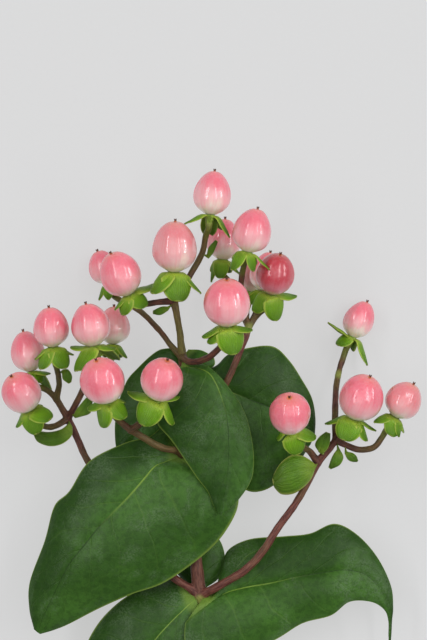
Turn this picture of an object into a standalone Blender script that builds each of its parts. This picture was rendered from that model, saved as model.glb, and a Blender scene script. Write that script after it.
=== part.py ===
"""Cut hypericum stem with berries, lying on a flat surface.

All tables are in millimetres. X runs to the right, Y runs from the cut end to the berry head,
Z points up from the surface. X and Y are counted from the lowest leaf node of the stem.
"""
import math

import bmesh
import bpy
import numpy as np
from mathutils import Matrix, Vector

MM = 0.001
NAME = "hypericum_berry_stem"
# Middle of the outline in plan, so that the finished part is centred on the origin.
CENTRE_X = 3.0
CENTRE_Y = 0.0

# Berry and calyx sizes shared by all of them.
GAP = 0.35
CUP_LENGTH = 1.7
CUP_TOP_RADIUS = 1.75
CUP_FOOT_RADIUS = 1.1
BERRY_SEGMENTS = 10
BERRY_RINGS = 7
BERRY_LOBE = 0.025
BERRY_TAPER = 0.4
TAPER_TILT = 44.0
BERRY_WIDEST = 0.45
TIP_LENGTH = 1.5
TIP_RADIUS = 0.3
TIP_END_RADIUS = 0.12
TIP_SPREAD = 17.0
TIP_SINK = 0.45
SEPAL_ROWS = 4
SMALL_SEPAL = 7.5
SMALL_SEPAL_ROWS = 3
SEPAL_COLUMNS = 2
SEPAL_THICKNESS = 0.6
SEPAL_ROOT_RADIUS = 0.9
SEPAL_ROOT_DEPTH = 0.42
SEPAL_ARCH = 0.22
SEPAL_BEND_END = 0.34
SEPAL_RISE = 24.0
SEPAL_LONGER = 1.14
SEPAL_WIDER = 1.1
SEPAL_DROOP = 1.2

# Blade settings shared by leaves and bracts.
LEAF_COLUMNS = 6
LEAF_THICKNESS = 0.65
LEAF_ARCH = 0.10
LEAF_WAVE = 0.045
ARCH_START = 0.15
EVEN_ROUNDS = 2
BRACT_COLUMNS = 4
BRACT_THICKNESS = 0.6
BRACT_ARCH = 0.14

# Colour and roughness of each kind of surface.
LOOKS = {
    "stem_bark": ((0.20, 0.075, 0.05, 1.0), 0.5),
    "berry_skin": ((0.86, 0.30, 0.31, 1.0), 0.25),
    "berry_skin_dark": ((0.74, 0.19, 0.22, 1.0), 0.25),
    "berry_skin_pale": ((0.90, 0.50, 0.46, 1.0), 0.25),
    "sepal_green": ((0.22, 0.42, 0.05, 1.0), 0.42),
    "leaf_green": ((0.035, 0.13, 0.03, 1.0), 0.45),
    "bract_green": ((0.14, 0.30, 0.04, 1.0), 0.45),
}

# Berries: centre x, y, z, width, length, lean to the right and tilt up in degrees, skin,
# then the five sepals as (turn round the stalk, length, width, bend back).
BERRIES = {
    "berry_top": ((3.5, 113.3, 26.0), 10.6, 12.3, 6, -3, "berry_skin", (
        (-56, 7.3, 2.4, 26), (-168, 6.2, 3.1, 50), (164, 5.8, 3.2, 58),
        (68, 7.5, 2.6, 46), (124, 4.4, 2.6, 44))),
    "berry_upper_right": ((14.7, 102.8, 31.4), 10.9, 12.3, 14, 4, "berry_skin", (
        (-48, 6.2, 4.2, 62), (48, 5.2, 3.4, 56), (94, 6.4, 2.2, 28),
        (150, 5.0, 3.6, 34), (-150, 5.0, 4.0, 34))),
    "berry_upper_back": ((6.7, 100.5, 13.0), 9.8, 11.4, 4, 0, "berry_skin", (
        (-6, 5.4, 3.8, 66), (-66, 6.6, 2.6, 72), (76, 5.0, 3.2, 40),
        (150, 4.4, 3.2, 45), (-140, 4.4, 3.2, 45))),
    "berry_crown": ((-7.1, 98.3, 33.0), 12.6, 14.2, 2, 8, "berry_skin_pale", (
        (18, 8.5, 7.6, 58), (-52, 7.8, 6.2, 42), (84, 8.3, 3.4, 40),
        (140, 4.4, 3.6, 20), (-164, 4.2, 3.6, 20))),
    "berry_left": ((-22.4, 90.6, 31.0), 11.5, 12.9, -24, 16, "berry_skin", (
        (-52, 5.0, 5.3, 44), (40, 5.0, 5.3, 48), (114, 8.0, 5.2, 11),
        (-92, 4.6, 2.6, 26), (-150, 5.0, 4.0, 30))),
    "berry_left_back": ((-27.4, 92.7, 3.94), 8.4, 9.4, -20, 0, "berry_skin", (
        (-68, 4.6, 2.8, 42), (-20, 5.3, 2.9, 48), (70, 4.2, 3.0, 40),
        (148, 3.2, 2.6, 66), (-144, 3.2, 2.6, 66))),
    "berry_front": ((7.5, 82.5, 45.0), 13.2, 13.7, 0, 20, "berry_skin", (
        (-72, 5.7, 5.6, 42), (28, 7.4, 7.5, 64), (-98, 6.2, 4.4, 30),
        (84, 5.6, 3.6, 8), (166, 4.2, 3.6, 10))),
    "berry_right": ((21.2, 90.6, 25.0), 10.9, 12.0, 14, 20, "berry_skin_dark", (
        (50, 6.8, 7.1, 60), (124, 7.0, 4.0, 4), (-46, 6.0, 5.2, 54),
        (150, 4.6, 3.6, 34), (-145, 4.6, 3.6, 34))),
    "berry_right_mid": ((18.5, 91.3, 14.2), 8.6, 11.0, 14, 0, "berry_skin", (
        (-20, 4.4, 3.4, 60), (60, 4.4, 3.2, 50), (-94, 4.4, 3.2, 45), (130, 3.8, 3.0, 50),
        (-160, 3.8, 3.0, 50))),
    "berry_right_back": ((15.1, 90.2, 5.6), 7.4, 9.0, 10, 0, "berry_skin_pale", (
        (-34, 3.8, 2.8, 55), (44, 3.6, 2.8, 58), (-104, 3.8, 2.8, 45), (116, 3.4, 2.6, 55),
        (180, 3.0, 2.6, 68))),
    "berry_far_left_top": ((-41.8, 75.7, 24.0), 10.1, 11.2, -6, 8, "berry_skin", (
        (-54, 6.3, 5.6, 52), (36, 6.4, 5.9, 56), (-104, 5.0, 3.6, 32),
        (108, 5.0, 3.6, 32), (178, 3.8, 3.2, 16))),
    "berry_far_left_mid": ((-48.6, 68.9, 15.0), 9.8, 11.5, -12, 0, "berry_skin", (
        (72, 4.0, 4.0, 18), (36, 3.8, 4.0, 54), (-86, 4.8, 3.4, 36),
        (128, 7.4, 3.6, 56), (-156, 4.6, 3.6, 44))),
    "berry_far_left_low": ((-50.4, 57.3, 27.0), 11.2, 11.8, -30, 28, "berry_skin", (
        (-104, 5.6, 3.6, 34), (-24, 6.3, 5.9, 56), (28, 6.6, 5.0, 18),
        (150, 4.8, 3.8, 34), (-134, 4.8, 3.8, 34))),
    "berry_mid_left": ((-30.7, 76.4, 29.0), 10.9, 12.0, -12, 4, "berry_skin", (
        (-52, 8.2, 7.6, 38), (68, 4.9, 4.4, 19), (130, 8.0, 4.6, 40),
        (-128, 6.8, 4.2, -6), (172, 4.2, 3.4, 8))),
    "berry_mid_left_back": ((-24.4, 76.2, 12.5), 9.4, 10.6, 2, 0, "berry_skin_pale", (
        (0, 4.4, 3.4, 58), (72, 4.4, 3.4, 46), (-72, 4.4, 3.4, 46), (144, 4.0, 3.2, 50),
        (-144, 4.0, 3.2, 50))),
    "berry_lower_left": ((-27.2, 60.8, 43.0), 12.6, 13.4, -16, 28, "berry_skin", (
        (-66, 6.7, 7.2, 62), (52, 5.6, 5.9, 54), (-112, 5.1, 4.0, 14),
        (136, 5.0, 4.2, 34), (-146, 5.0, 4.2, 34))),
    "berry_centre": ((-10.5, 61.1, 43.0), 11.8, 12.6, 16, 28, "berry_skin", (
        (-20, 7.3, 7.0, 58), (92, 7.8, 5.8, 48), (-94, 6.6, 4.2, 6),
        (136, 6.9, 2.4, 6), (174, 5.0, 4.0, 36))),
    "berry_right_low": ((25.1, 51.5, 35.0), 11.6, 12.2, -2, 42, "berry_skin", (
        (26, 6.0, 6.1, 54), (94, 6.3, 5.0, 28), (-104, 4.4, 3.4, 52),
        (-150, 4.4, 3.4, 36), (152, 4.7, 3.7, 38))),
    "berry_right_top": ((45.1, 77.9, 4.03), 8.6, 10.6, 24, 0, "berry_skin", (
        (-56, 7.6, 2.8, -6), (-36, 4.6, 4.1, 46), (72, 8.0, 3.8, 40),
        (128, 3.4, 2.8, 62), (-150, 3.2, 2.8, 68))),
    "berry_right_mid_low": ((45.3, 56.0, 27.0), 12.6, 13.2, 22, 20, "berry_skin", (
        (-2, 6.2, 6.5, 50), (82, 6.2, 4.8, 40), (112, 6.5, 2.4, 16),
        (-90, 6.8, 3.4, 40), (148, 5.0, 4.0, 34))),
    "berry_far_right": ((57.4, 55.2, 23.0), 10.1, 10.6, 31, 10, "berry_skin_pale", (
        (-44, 5.6, 3.0, 36), (30, 5.1, 5.4, 56), (64, 4.8, 3.0, 48),
        (120, 4.6, 3.6, 34), (-150, 4.6, 3.6, 40))),
}

# Nodes of the stem: x, y, z, radius of the stem there.
CUT_END = (2.0, -121.0, 1.79, 1.8)
NODE_LOW = (0.0, 0.0, 16.0, 1.9)
NODE_MID = (-4.2, 39.5, 20.0, 1.65)
NODE_HIGH = (-4.9, 67.0, 24.0, 1.25)
NODE_CROWN = (-7.3, 82.9, 26.0, 1.15)
FORK_INNER = (13.7, 75.3, 22.0, 0.95)
FORK_FRONT = (-19.3, 46.8, 31.5, 1.05)
FORK_RIGHT = (33.0, 37.5, 20.0, 1.15)
FORK_RIGHT_HIGH = (38.1, 43.7, 20.0, 1.05)
FORK_LEFT = (-37.2, 49.8, 13.0, 1.05)
FORK_LEFT_HIGH = (-40.4, 55.2, 14.5, 0.95)
FORK_MID_LEFT = (-33.0, 57.7, 17.0, 0.95)

# Stem runs between nodes: control points x, y, z, radius.
STEM_RUNS = (
    (CUT_END, (1.2, -80.0, 6.6, 1.8), (0.4, -40.0, 11.4, 1.8), NODE_LOW),
    (NODE_LOW, (-1.6, 13.0, 17.4, 1.8), (-3.2, 26.0, 18.8, 1.7), NODE_MID),
    (NODE_MID, (-4.8, 54.0, 22.0, 1.4), NODE_HIGH),
    (NODE_HIGH, (-5.9, 75.5, 25.2, 0.95), NODE_CROWN),
    (NODE_LOW, (2.6, 1.4, 18.2, 1.25), (6.2, 3.4, 19.8, 1.2), (12.6, 7.3, 20.5, 1.15),
     (17.4, 12.3, 20.5, 1.15), (21.6, 18.8, 20.5, 1.1), (27.7, 27.4, 20.3, 1.05), FORK_RIGHT),
    (FORK_RIGHT, FORK_RIGHT_HIGH),
    (NODE_LOW, (-3.2, 2.4, 17.0, 1.15), (-7.0, 4.8, 16.8, 1.15), (-12.0, 9.5, 15.5, 1.1),
     (-20.5, 20.5, 13.5, 1.1), (-31.4, 37.5, 12.0, 1.05), (-34.2, 43.4, 12.0, 1.0), FORK_LEFT),
    (FORK_LEFT, FORK_LEFT_HIGH),
    (FORK_LEFT, (-35.0, 53.8, 15.0, 0.95), FORK_MID_LEFT),
    (NODE_MID, (3.0, 52.0, 22.0, 1.05), (7.8, 60.8, 22.0, 1.0), (12.0, 70.6, 22.0, 0.95),
     FORK_INNER),
    (NODE_MID, (-6.8, 41.0, 24.5, 1.1), (-11.2, 42.0, 28.0, 1.05), FORK_FRONT),
)

# Berry stalks: the points between the parent stem and the berry's calyx.
STALKS = {
    "berry_top": (NODE_CROWN, (-4.2, 87.9, 26.0, 0.95), (-2.1, 91.3, 25.0, 0.9),
                  (0.6, 96.3, 24.4, 0.9), (1.7, 101.4, 25.0, 0.9)),
    "berry_upper_right": (FORK_INNER, (11.8, 82.0, 24.0, 0.9), (11.5, 88.0, 26.6, 0.9)),
    "berry_upper_back": (FORK_INNER, (11.0, 81.5, 18.5, 0.85), (8.4, 88.0, 14.0, 0.85)),
    "berry_crown": (NODE_CROWN, (-7.4, 85.6, 28.4, 0.95)),
    "berry_left": (NODE_CROWN, (-11.0, 82.6, 26.4, 0.9), (-15.0, 82.0, 27.6, 0.9)),
    "berry_left_back": (NODE_HIGH, (-7.8, 70.0, 22.6, 0.85), (-11.6, 74.8, 19.6, 0.85),
                        (-16.6, 79.8, 13.6, 0.85), (-22.0, 82.8, 7.4, 0.85)),
    "berry_front": (NODE_HIGH, (-4.2, 66.5, 27.6, 0.95), (-2.4, 65.8, 30.0, 0.95),
                    (0.6, 66.3, 32.4, 0.95), (3.6, 68.0, 35.4, 0.95)),
    "berry_right": (FORK_INNER, (15.7, 78.6, 21.6, 0.9)),
    "berry_right_mid": (FORK_INNER, (15.6, 79.6, 17.0, 0.85)),
    "berry_right_back": (FORK_INNER, (13.2, 78.0, 14.5, 0.8), (13.2, 80.0, 8.5, 0.8)),
    "berry_far_left_top": (FORK_LEFT_HIGH, (-39.6, 60.5, 17.5, 0.85)),
    "berry_far_left_mid": (FORK_LEFT_HIGH, (-43.0, 57.8, 14.8, 0.85)),
    "berry_far_left_low": (FORK_LEFT, (-40.6, 47.8, 15.0, 0.9), (-43.5, 47.6, 18.5, 0.9)),
    "berry_mid_left": (FORK_MID_LEFT, (-31.0, 62.0, 22.0, 0.9)),
    "berry_mid_left_back": (FORK_MID_LEFT, (-29.0, 61.4, 14.4, 0.85)),
    "berry_lower_left": (FORK_FRONT, (-22.6, 49.4, 34.0, 0.95)),
    "berry_centre": (FORK_FRONT, (-15.8, 49.4, 34.6, 0.95)),
    "berry_right_low": (FORK_RIGHT, (30.6, 40.8, 22.0, 0.95), (27.2, 42.6, 25.6, 0.95)),
    "berry_right_top": (FORK_RIGHT_HIGH, (38.0, 51.9, 15.8, 0.95), (38.4, 58.8, 9.2, 0.9),
                        (39.5, 64.0, 5.2, 0.9)),
    "berry_right_mid_low": (FORK_RIGHT_HIGH, (39.8, 45.6, 21.2, 0.95)),
    "berry_far_right": (FORK_RIGHT_HIGH, (41.4, 42.2, 20.0, 0.9), (44.4, 41.2, 20.0, 0.9),
                        (48.4, 41.6, 20.2, 0.9), (50.8, 44.2, 20.6, 0.9)),
}
SWELLINGS = (NODE_LOW, NODE_MID, NODE_HIGH, NODE_CROWN, FORK_RIGHT, FORK_RIGHT_HIGH,
             FORK_LEFT, FORK_LEFT_HIGH, FORK_INNER, FORK_FRONT)
SWELLING = 1.16
STALK_STRAIGHT = 1.6
STALK_RADIUS = 0.92
STALK_END_RADIUS = 1.1

# Blades: rows from root to tip, each the midrib point and then the left and right edge points.
LEAVES = {
    "leaf_front_left": (
        ((-7.6, 38.4, 21.8), (-6.9, 49.4, 19.4), (4.0, 36.8, 23.8)),
        ((-10.0, 37.6, 22.5), (-9.2, 49.2, 19.0), (8.8, 33.6, 23.8)),
        ((-12.9, 36.4, 23.2), (-14.0, 44.8, 19.6), (10.8, 27.2, 23.4)),
        ((-16.0, 32.8, 23.8), (-21.0, 43.0, 20.2), (8.5, 20.5, 22.6)),
        ((-20.4, 27.7, 24.0), (-31.1, 37.8, 19.6), (2.5, 13.0, 22.2)),
        ((-28.0, 19.9, 24.0), (-36.7, 29.4, 18.6), (-9.5, 4.2, 21.4)),
        ((-32.6, 14.2, 23.2), (-40.9, 25.2, 18.0), (-19.3, 0.6, 20.0)),
        ((-36.7, 9.0, 21.8), (-43.6, 15.5, 17.0), (-28.3, -3.4, 18.0)),
        ((-41.0, 0.6, 19.0), (-47.8, 4.0, 15.4), (-36.7, -7.8, 15.6)),
        ((-44.0, -5.8, 16.4), (-48.0, -3.6, 14.6), (-41.0, -9.6, 14.0)),
        ((-45.9, -10.2, 14.2), (-46.7, -9.4, 14.2), (-45.0, -10.8, 14.0))),
    "leaf_front_centre": (
        ((-4.5, 64.7, 26.2), (-5.2, 64.5, 26.1), (-3.9, 65.0, 26.2)),
        ((-2.6, 64.3, 27.2), (-8.6, 62.2, 26.8), (-1.4, 65.0, 26.9)),
        ((0.0, 63.9, 28.4), (-10.8, 58.6, 27.4), (1.6, 64.9, 27.8)),
        ((2.6, 62.6, 29.4), (-12.2, 54.0, 27.6), (4.6, 62.6, 28.2)),
        ((4.4, 60.0, 29.8), (-12.0, 50.0, 27.5), (7.6, 59.2, 27.8)),
        ((6.2, 55.6, 30.0), (-11.6, 48.0, 27.2), (11.2, 54.0, 27.2)),
        ((7.4, 51.0, 30.0), (-8.1, 44.0, 27.2), (13.3, 49.2, 27.0)),
        ((8.0, 45.5, 30.0), (-4.2, 38.4, 27.1), (14.6, 43.0, 27.0)),
        ((8.0, 39.6, 29.6), (-0.8, 33.4, 26.8), (15.0, 37.6, 27.0)),
        ((7.6, 33.6, 28.8), (2.2, 29.6, 27.0), (14.2, 32.6, 27.0)),
        ((6.8, 28.0, 27.8), (3.6, 26.2, 27.0), (11.0, 27.6, 27.0)),
        ((5.8, 23.0, 26.8), (4.9, 23.4, 26.8), (6.7, 23.2, 26.8))),
    "leaf_back_left": (
        ((-4.8, 66.2, 20.9), (-6.0, 69.4, 20.4), (-3.2, 69.3, 20.4)),
        ((-5.2, 65.0, 20.7), (-7.8, 69.6, 20.1), (0.0, 69.1, 20.2)),
        ((-5.5, 64.3, 20.6), (-9.6, 69.5, 19.8), (2.4, 68.0, 20.1)),
        ((-6.0, 63.4, 20.4), (-11.4, 69.1, 19.5), (4.0, 66.6, 20.0)),
        ((-6.8, 62.2, 20.2), (-13.2, 68.0, 19.1), (3.4, 64.3, 20.0)),
        ((-7.8, 60.6, 19.9), (-15.2, 66.3, 18.4), (-2.4, 62.9, 20.2)),
        ((-9.2, 58.2, 19.5), (-17.6, 63.9, 17.6), (-5.4, 58.4, 19.4)),
        ((-11.2, 55.2, 19.0), (-20.2, 61.0, 16.8), (-6.0, 54.0, 18.4)),
        ((-13.6, 51.6, 18.3), (-22.0, 57.0, 16.2), (-6.8, 49.6, 17.4)),
        ((-16.2, 48.0, 17.6), (-23.4, 52.6, 15.6), (-9.6, 44.6, 16.4)),
        ((-18.6, 44.6, 16.8), (-23.9, 48.0, 15.2), (-13.6, 40.4, 15.6)),
        ((-20.6, 41.4, 16.1), (-23.8, 43.4, 15.0), (-17.2, 38.0, 15.4)),
        ((-22.0, 38.4, 15.4), (-23.2, 39.6, 15.2), (-20.8, 37.4, 15.4))),
    "leaf_back_right": (
        ((-2.2, 61.0, 20.2), (-2.0, 62.2, 20.2), (-1.8, 59.8, 20.0)),
        ((1.5, 60.4, 19.6), (4.4, 64.6, 18.0), (1.0, 54.0, 18.4)),
        ((5.5, 58.6, 19.0), (7.8, 67.7, 17.4), (2.5, 48.0, 17.6)),
        ((10.5, 56.6, 18.8), (13.2, 69.6, 17.0), (5.0, 42.0, 17.0)),
        ((15.0, 54.8, 18.4), (20.4, 70.1, 16.0), (7.5, 35.0, 16.2)),
        ((18.5, 53.6, 18.0), (25.0, 66.2, 15.4), (12.6, 29.9, 15.4)),
        ((22.0, 52.0, 17.4), (28.6, 60.8, 15.0), (17.4, 29.5, 15.0)),
        ((25.5, 49.5, 16.8), (31.4, 55.6, 14.6), (22.6, 32.4, 14.6)),
        ((28.6, 46.4, 16.0), (32.4, 50.0, 14.4), (27.4, 37.0, 14.4)),
        ((31.5, 43.4, 15.0), (32.2, 44.4, 14.8), (30.8, 42.4, 14.8))),
    "leaf_low_right": (
        ((2.4, -1.9, 19.2), (4.8, 2.0, 13.8), (-1.4, -3.6, 20.6)),
        ((3.4, -1.6, 18.6), (5.6, 4.8, 13.2), (-3.2, -6.4, 20.8)),
        ((4.6, -0.9, 18.0), (6.2, 8.4, 12.7), (-4.2, -8.5, 20.9)),
        ((7.6, 0.9, 17.1), (8.2, 12.9, 12.2), (-3.5, -14.5, 20.2)),
        ((12.6, 2.3, 16.4), (14.2, 15.8, 12.5), (3.5, -17.0, 18.4)),
        ((20.0, 3.6, 16.0), (23.5, 16.6, 13.0), (12.0, -16.4, 16.8)),
        ((27.0, 5.2, 15.6), (31.0, 17.4, 13.2), (21.5, -12.2, 15.2)),
        ((34.0, 6.4, 15.2), (37.8, 20.1, 13.2), (28.8, -7.8, 14.0)),
        ((41.0, 7.2, 14.6), (44.0, 17.2, 12.2), (36.8, -5.6, 13.0)),
        ((46.6, 5.8, 13.4), (49.8, 10.8, 11.0), (42.0, -1.8, 12.6)),
        ((50.8, 1.4, 11.6), (53.7, 2.8, 9.8), (48.0, -1.8, 11.8)),
        ((53.0, -3.8, 10.0), (54.4, -3.4, 9.0), (51.8, -4.0, 10.2)),
        ((53.6, -7.4, 9.0), (54.1, -7.3, 8.7), (53.1, -7.4, 9.1)),
        ((53.5, -13.0, 7.9), (53.8, -13.0, 7.8), (53.2, -13.0, 7.9))),
    "leaf_low_left": (
        ((-3.0, -2.4, 18.9), (-5.4, 5.0, 12.7), (0.4, -5.6, 18.8)),
        ((-5.2, -4.5, 18.5), (-8.4, 5.2, 12.4), (1.2, -9.6, 18.2)),
        ((-8.0, -7.2, 18.0), (-12.0, 3.6, 12.2), (0.8, -13.6, 17.6)),
        ((-12.0, -11.6, 17.4), (-18.0, 1.2, 12.4), (-1.0, -20.4, 16.6)),
        ((-16.0, -17.0, 16.6), (-23.6, -2.6, 12.4), (-3.8, -27.2, 15.0)),
        ((-20.0, -23.2, 15.4), (-28.8, -8.2, 12.0), (-8.2, -33.6, 13.2)),
        ((-24.0, -30.0, 13.8), (-32.6, -15.4, 11.0), (-14.0, -38.8, 11.6)),
        ((-27.6, -36.4, 12.0), (-34.8, -24.4, 9.6), (-20.4, -42.6, 10.2)),
        ((-30.6, -42.0, 10.2), (-34.8, -35.4, 8.6), (-26.4, -45.0, 9.0)),
        ((-33.2, -46.8, 8.4), (-34.0, -46.0, 8.2), (-32.4, -47.4, 8.2))),
    "leaf_low_back": (
        ((0.0, 1.5, 12.6), (-1.0, 1.9, 12.6), (1.0, 1.7, 12.6)),
        ((-0.5, 5.0, 12.0), (-6.0, 5.5, 9.6), (5.2, 4.8, 10.8)),
        ((-1.0, 9.5, 11.4), (-9.0, 10.5, 9.2), (6.9, 9.4, 10.0)),
        ((-1.8, 14.5, 11.0), (-10.5, 16.5, 9.2), (6.2, 14.0, 9.8)),
        ((-3.0, 20.0, 10.8), (-11.0, 22.5, 9.2), (3.6, 18.4, 9.8)),
        ((-4.5, 25.5, 10.6), (-10.2, 28.0, 9.4), (0.6, 24.4, 10.0)),
        ((-6.5, 31.6, 10.4), (-7.3, 31.3, 10.4), (-5.7, 31.8, 10.4))),
}
BRACTS = {
    "bract_right_large": (
        ((32.2, 36.3, 22.2), (32.4, 36.9, 22.2), (32.2, 35.7, 22.2)),
        ((30.4, 36.2, 23.6), (30.6, 38.4, 22.8), (31.2, 33.2, 22.3)),
        ((28.0, 35.6, 24.8), (28.2, 39.6, 23.6), (29.2, 30.8, 22.2)),
        ((25.6, 34.8, 25.4), (25.6, 39.6, 24.2), (26.2, 28.9, 22.4)),
        ((23.4, 33.9, 25.2), (22.8, 37.6, 24.2), (23.0, 28.7, 22.8)),
        ((21.8, 32.9, 24.6), (21.0, 34.8, 24.0), (21.2, 30.2, 23.2)),
        ((20.5, 32.2, 23.9), (20.3, 32.9, 23.9), (20.5, 31.5, 23.9))),
    "bract_right_inner": (
        ((33.8, 40.3, 22.3), (33.2, 40.8, 22.3), (34.4, 40.0, 22.4)),
        ((34.0, 41.9, 23.1), (32.3, 42.6, 22.9), (35.6, 41.3, 23.0)),
        ((34.8, 43.8, 23.6), (33.4, 44.7, 23.4), (36.4, 43.3, 23.4)),
        ((35.9, 46.0, 23.6), (35.4, 46.2, 23.6), (36.5, 45.8, 23.6))),
    "bract_right_lower": (
        ((38.9, 41.0, 20.7), (38.4, 41.1, 20.7), (39.4, 41.0, 20.7)),
        ((38.9, 39.4, 21.3), (37.6, 40.0, 20.9), (40.2, 39.0, 20.9)),
        ((38.1, 37.6, 21.3), (36.8, 38.4, 20.9), (39.2, 36.9, 20.9)),
        ((36.4, 35.9, 20.7), (36.1, 36.2, 20.7), (36.7, 35.7, 20.7))),
    "bract_right_bud": (
        ((40.9, 40.4, 21.0), (40.6, 40.0, 21.0), (41.3, 40.6, 21.0)),
        ((42.2, 39.6, 21.5), (41.5, 38.4, 21.2), (42.9, 40.2, 21.2)),
        ((43.3, 38.7, 21.4), (42.7, 37.8, 21.1), (43.9, 39.3, 21.1)),
        ((44.2, 37.9, 21.0), (44.0, 37.7, 21.0), (44.4, 38.1, 21.0))),
    "bract_left_large": (
        ((-36.6, 48.0, 15.0), (-36.0, 47.4, 15.0), (-37.2, 48.2, 15.0)),
        ((-37.6, 46.4, 15.7), (-36.2, 45.0, 15.2), (-38.8, 46.9, 15.3)),
        ((-39.6, 45.0, 16.3), (-38.7, 42.8, 15.6), (-40.9, 46.2, 15.2)),
        ((-42.2, 44.2, 16.9), (-42.2, 42.1, 16.2), (-42.8, 46.0, 15.8)),
        ((-44.8, 44.6, 17.3), (-45.6, 43.3, 16.9), (-44.6, 46.2, 16.5)),
        ((-46.5, 46.0, 17.3), (-46.9, 45.5, 17.3), (-46.1, 46.3, 17.3))),
    "bract_left_inner": (
        ((-35.3, 50.5, 15.2), (-35.4, 51.0, 15.2), (-35.1, 50.0, 15.2)),
        ((-34.0, 51.2, 16.0), (-34.6, 52.6, 15.9), (-33.6, 50.4, 15.6)),
        ((-32.4, 53.0, 16.5), (-32.6, 55.0, 16.4), (-30.9, 51.4, 15.9)),
        ((-31.2, 55.2, 16.7), (-31.7, 56.0, 16.5), (-30.3, 54.2, 16.2)),
        ((-30.6, 56.9, 16.6), (-30.9, 57.0, 16.6), (-30.3, 56.7, 16.6))),
    "bract_left_upper": (
        ((-38.6, 63.1, 20.6), (-38.5, 63.7, 20.6), (-38.7, 62.5, 20.6)),
        ((-37.8, 62.5, 21.3), (-37.0, 63.6, 20.9), (-38.6, 61.2, 20.9)),
        ((-37.1, 61.3, 21.5), (-35.9, 61.8, 21.1), (-38.0, 60.4, 21.1)),
        ((-36.5, 59.9, 21.2), (-36.2, 60.1, 21.2), (-36.8, 59.7, 21.2))),
    "bract_middle": (
        ((-9.0, 80.8, 27.2), (-9.0, 80.2, 27.2), (-9.1, 81.3, 27.2)),
        ((-11.0, 80.2, 27.9), (-11.1, 79.0, 27.5), (-10.9, 81.2, 27.5)),
        ((-13.2, 79.7, 28.1), (-13.2, 79.3, 28.1), (-13.2, 80.1, 28.1))),
    "bract_top": (
        ((2.1, 95.3, 24.8), (2.0, 95.9, 24.8), (2.4, 94.8, 24.8)),
        ((3.1, 97.1, 25.4), (2.5, 97.9, 25.1), (3.8, 96.6, 25.1)),
        ((4.7, 99.8, 25.6), (4.4, 100.0, 25.6), (5.0, 99.6, 25.6))),
}


def place(point):
    """A table point in millimetres as a point of the finished part in metres."""
    return Vector(((point[0] - CENTRE_X) * MM, (point[1] - CENTRE_Y) * MM, point[2] * MM))


def clear_scene():
    for item in list(bpy.data.objects):
        bpy.data.objects.remove(item, do_unlink=True)


def make_material(name, look):
    colour, roughness = LOOKS[look]
    material = bpy.data.materials.new(name)
    material.use_nodes = True
    shader = material.node_tree.nodes["Principled BSDF"]
    shader.inputs["Base Color"].default_value = colour
    shader.inputs["Roughness"].default_value = roughness
    shader.inputs["Metallic"].default_value = 0.0
    material.diffuse_color = colour
    return material


def object_from_bmesh(name, shape):
    mesh = bpy.data.meshes.new(name)
    bmesh.ops.recalc_face_normals(shape, faces=shape.faces)
    if shape.calc_volume(signed=True) < 0:
        bmesh.ops.reverse_faces(shape, faces=shape.faces)
    shape.to_mesh(mesh)
    shape.free()
    item = bpy.data.objects.new(name, mesh)
    bpy.context.scene.collection.objects.link(item)
    return item


def finish(item, look, collection, angle):
    """Gives a finished node its material, smooth faces and its place in the part's collection."""
    for owner in list(item.users_collection):
        owner.objects.unlink(item)
    collection.objects.link(item)
    item.data.name = item.name
    item.data.materials.clear()
    item.data.materials.append(make_material(item.name + "_material", look))
    item.data.polygons.foreach_set("use_smooth", [True] * len(item.data.polygons))
    item.data.set_sharp_from_angle(angle=math.radians(angle))


def keep_outer_skin(mesh):
    """Drops closed pockets and loose scraps, so that one closed skin is left."""
    shape = bmesh.new()
    shape.from_mesh(mesh)
    shape.faces.ensure_lookup_table()
    left = set(shape.faces)
    islands = []
    while left:
        seed = left.pop()
        island = [seed]
        for face in island:
            for edge in face.edges:
                for other in edge.link_faces:
                    if other in left:
                        left.remove(other)
                        island.append(other)
        islands.append(island)
    spans = []
    for island in islands:
        points = np.array([vert.co[:] for face in island for vert in face.verts])
        spans.append(float(np.prod(points.max(axis=0) - points.min(axis=0))))
    largest = spans.index(max(spans))
    loose = [face for number, island in enumerate(islands) if number != largest
             for face in island]
    bmesh.ops.delete(shape, geom=loose, context="FACES")
    shape.to_mesh(mesh)
    shape.free()


def fuse(name, pieces):
    """One closed solid from overlapping pieces."""
    body = pieces[0]
    group = bpy.data.collections.new(name + "_parts")
    bpy.context.scene.collection.children.link(group)
    for piece in pieces[1:]:
        bpy.context.scene.collection.objects.unlink(piece)
        group.objects.link(piece)
    join = body.modifiers.new("join", "BOOLEAN")
    join.operation = "UNION"
    join.operand_type = "COLLECTION"
    join.collection = group
    join.solver = "MANIFOLD"
    bpy.context.view_layer.update()
    graph = bpy.context.evaluated_depsgraph_get()
    mesh = bpy.data.meshes.new_from_object(body.evaluated_get(graph))
    for piece in pieces:
        bpy.data.objects.remove(piece, do_unlink=True)
    bpy.data.collections.remove(group)
    keep_outer_skin(mesh)
    result = bpy.data.objects.new(name, mesh)
    bpy.context.scene.collection.objects.link(result)
    return result


def smooth_rows(rows, steps):
    """Rows of numbers along a smooth curve through the given rows."""
    rows = np.asarray(rows, dtype=float)
    padded = np.concatenate((2 * rows[:1] - rows[1:2], rows, 2 * rows[-1:] - rows[-2:-1]))
    result = []
    for index in range(len(rows) - 1):
        before, start, end, after = padded[index:index + 4]
        for step in range(steps):
            t = step / steps
            result.append(0.5 * (2 * start + (end - before) * t
                                 + (2 * before - 5 * start + 4 * end - after) * t * t
                                 + (3 * start - before - 3 * end + after) * t ** 3))
    result.append(rows[-1])
    return np.array(result)


def unit(vectors):
    length = np.linalg.norm(vectors, axis=2, keepdims=True)
    return vectors / np.maximum(length, 1e-9)


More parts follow.
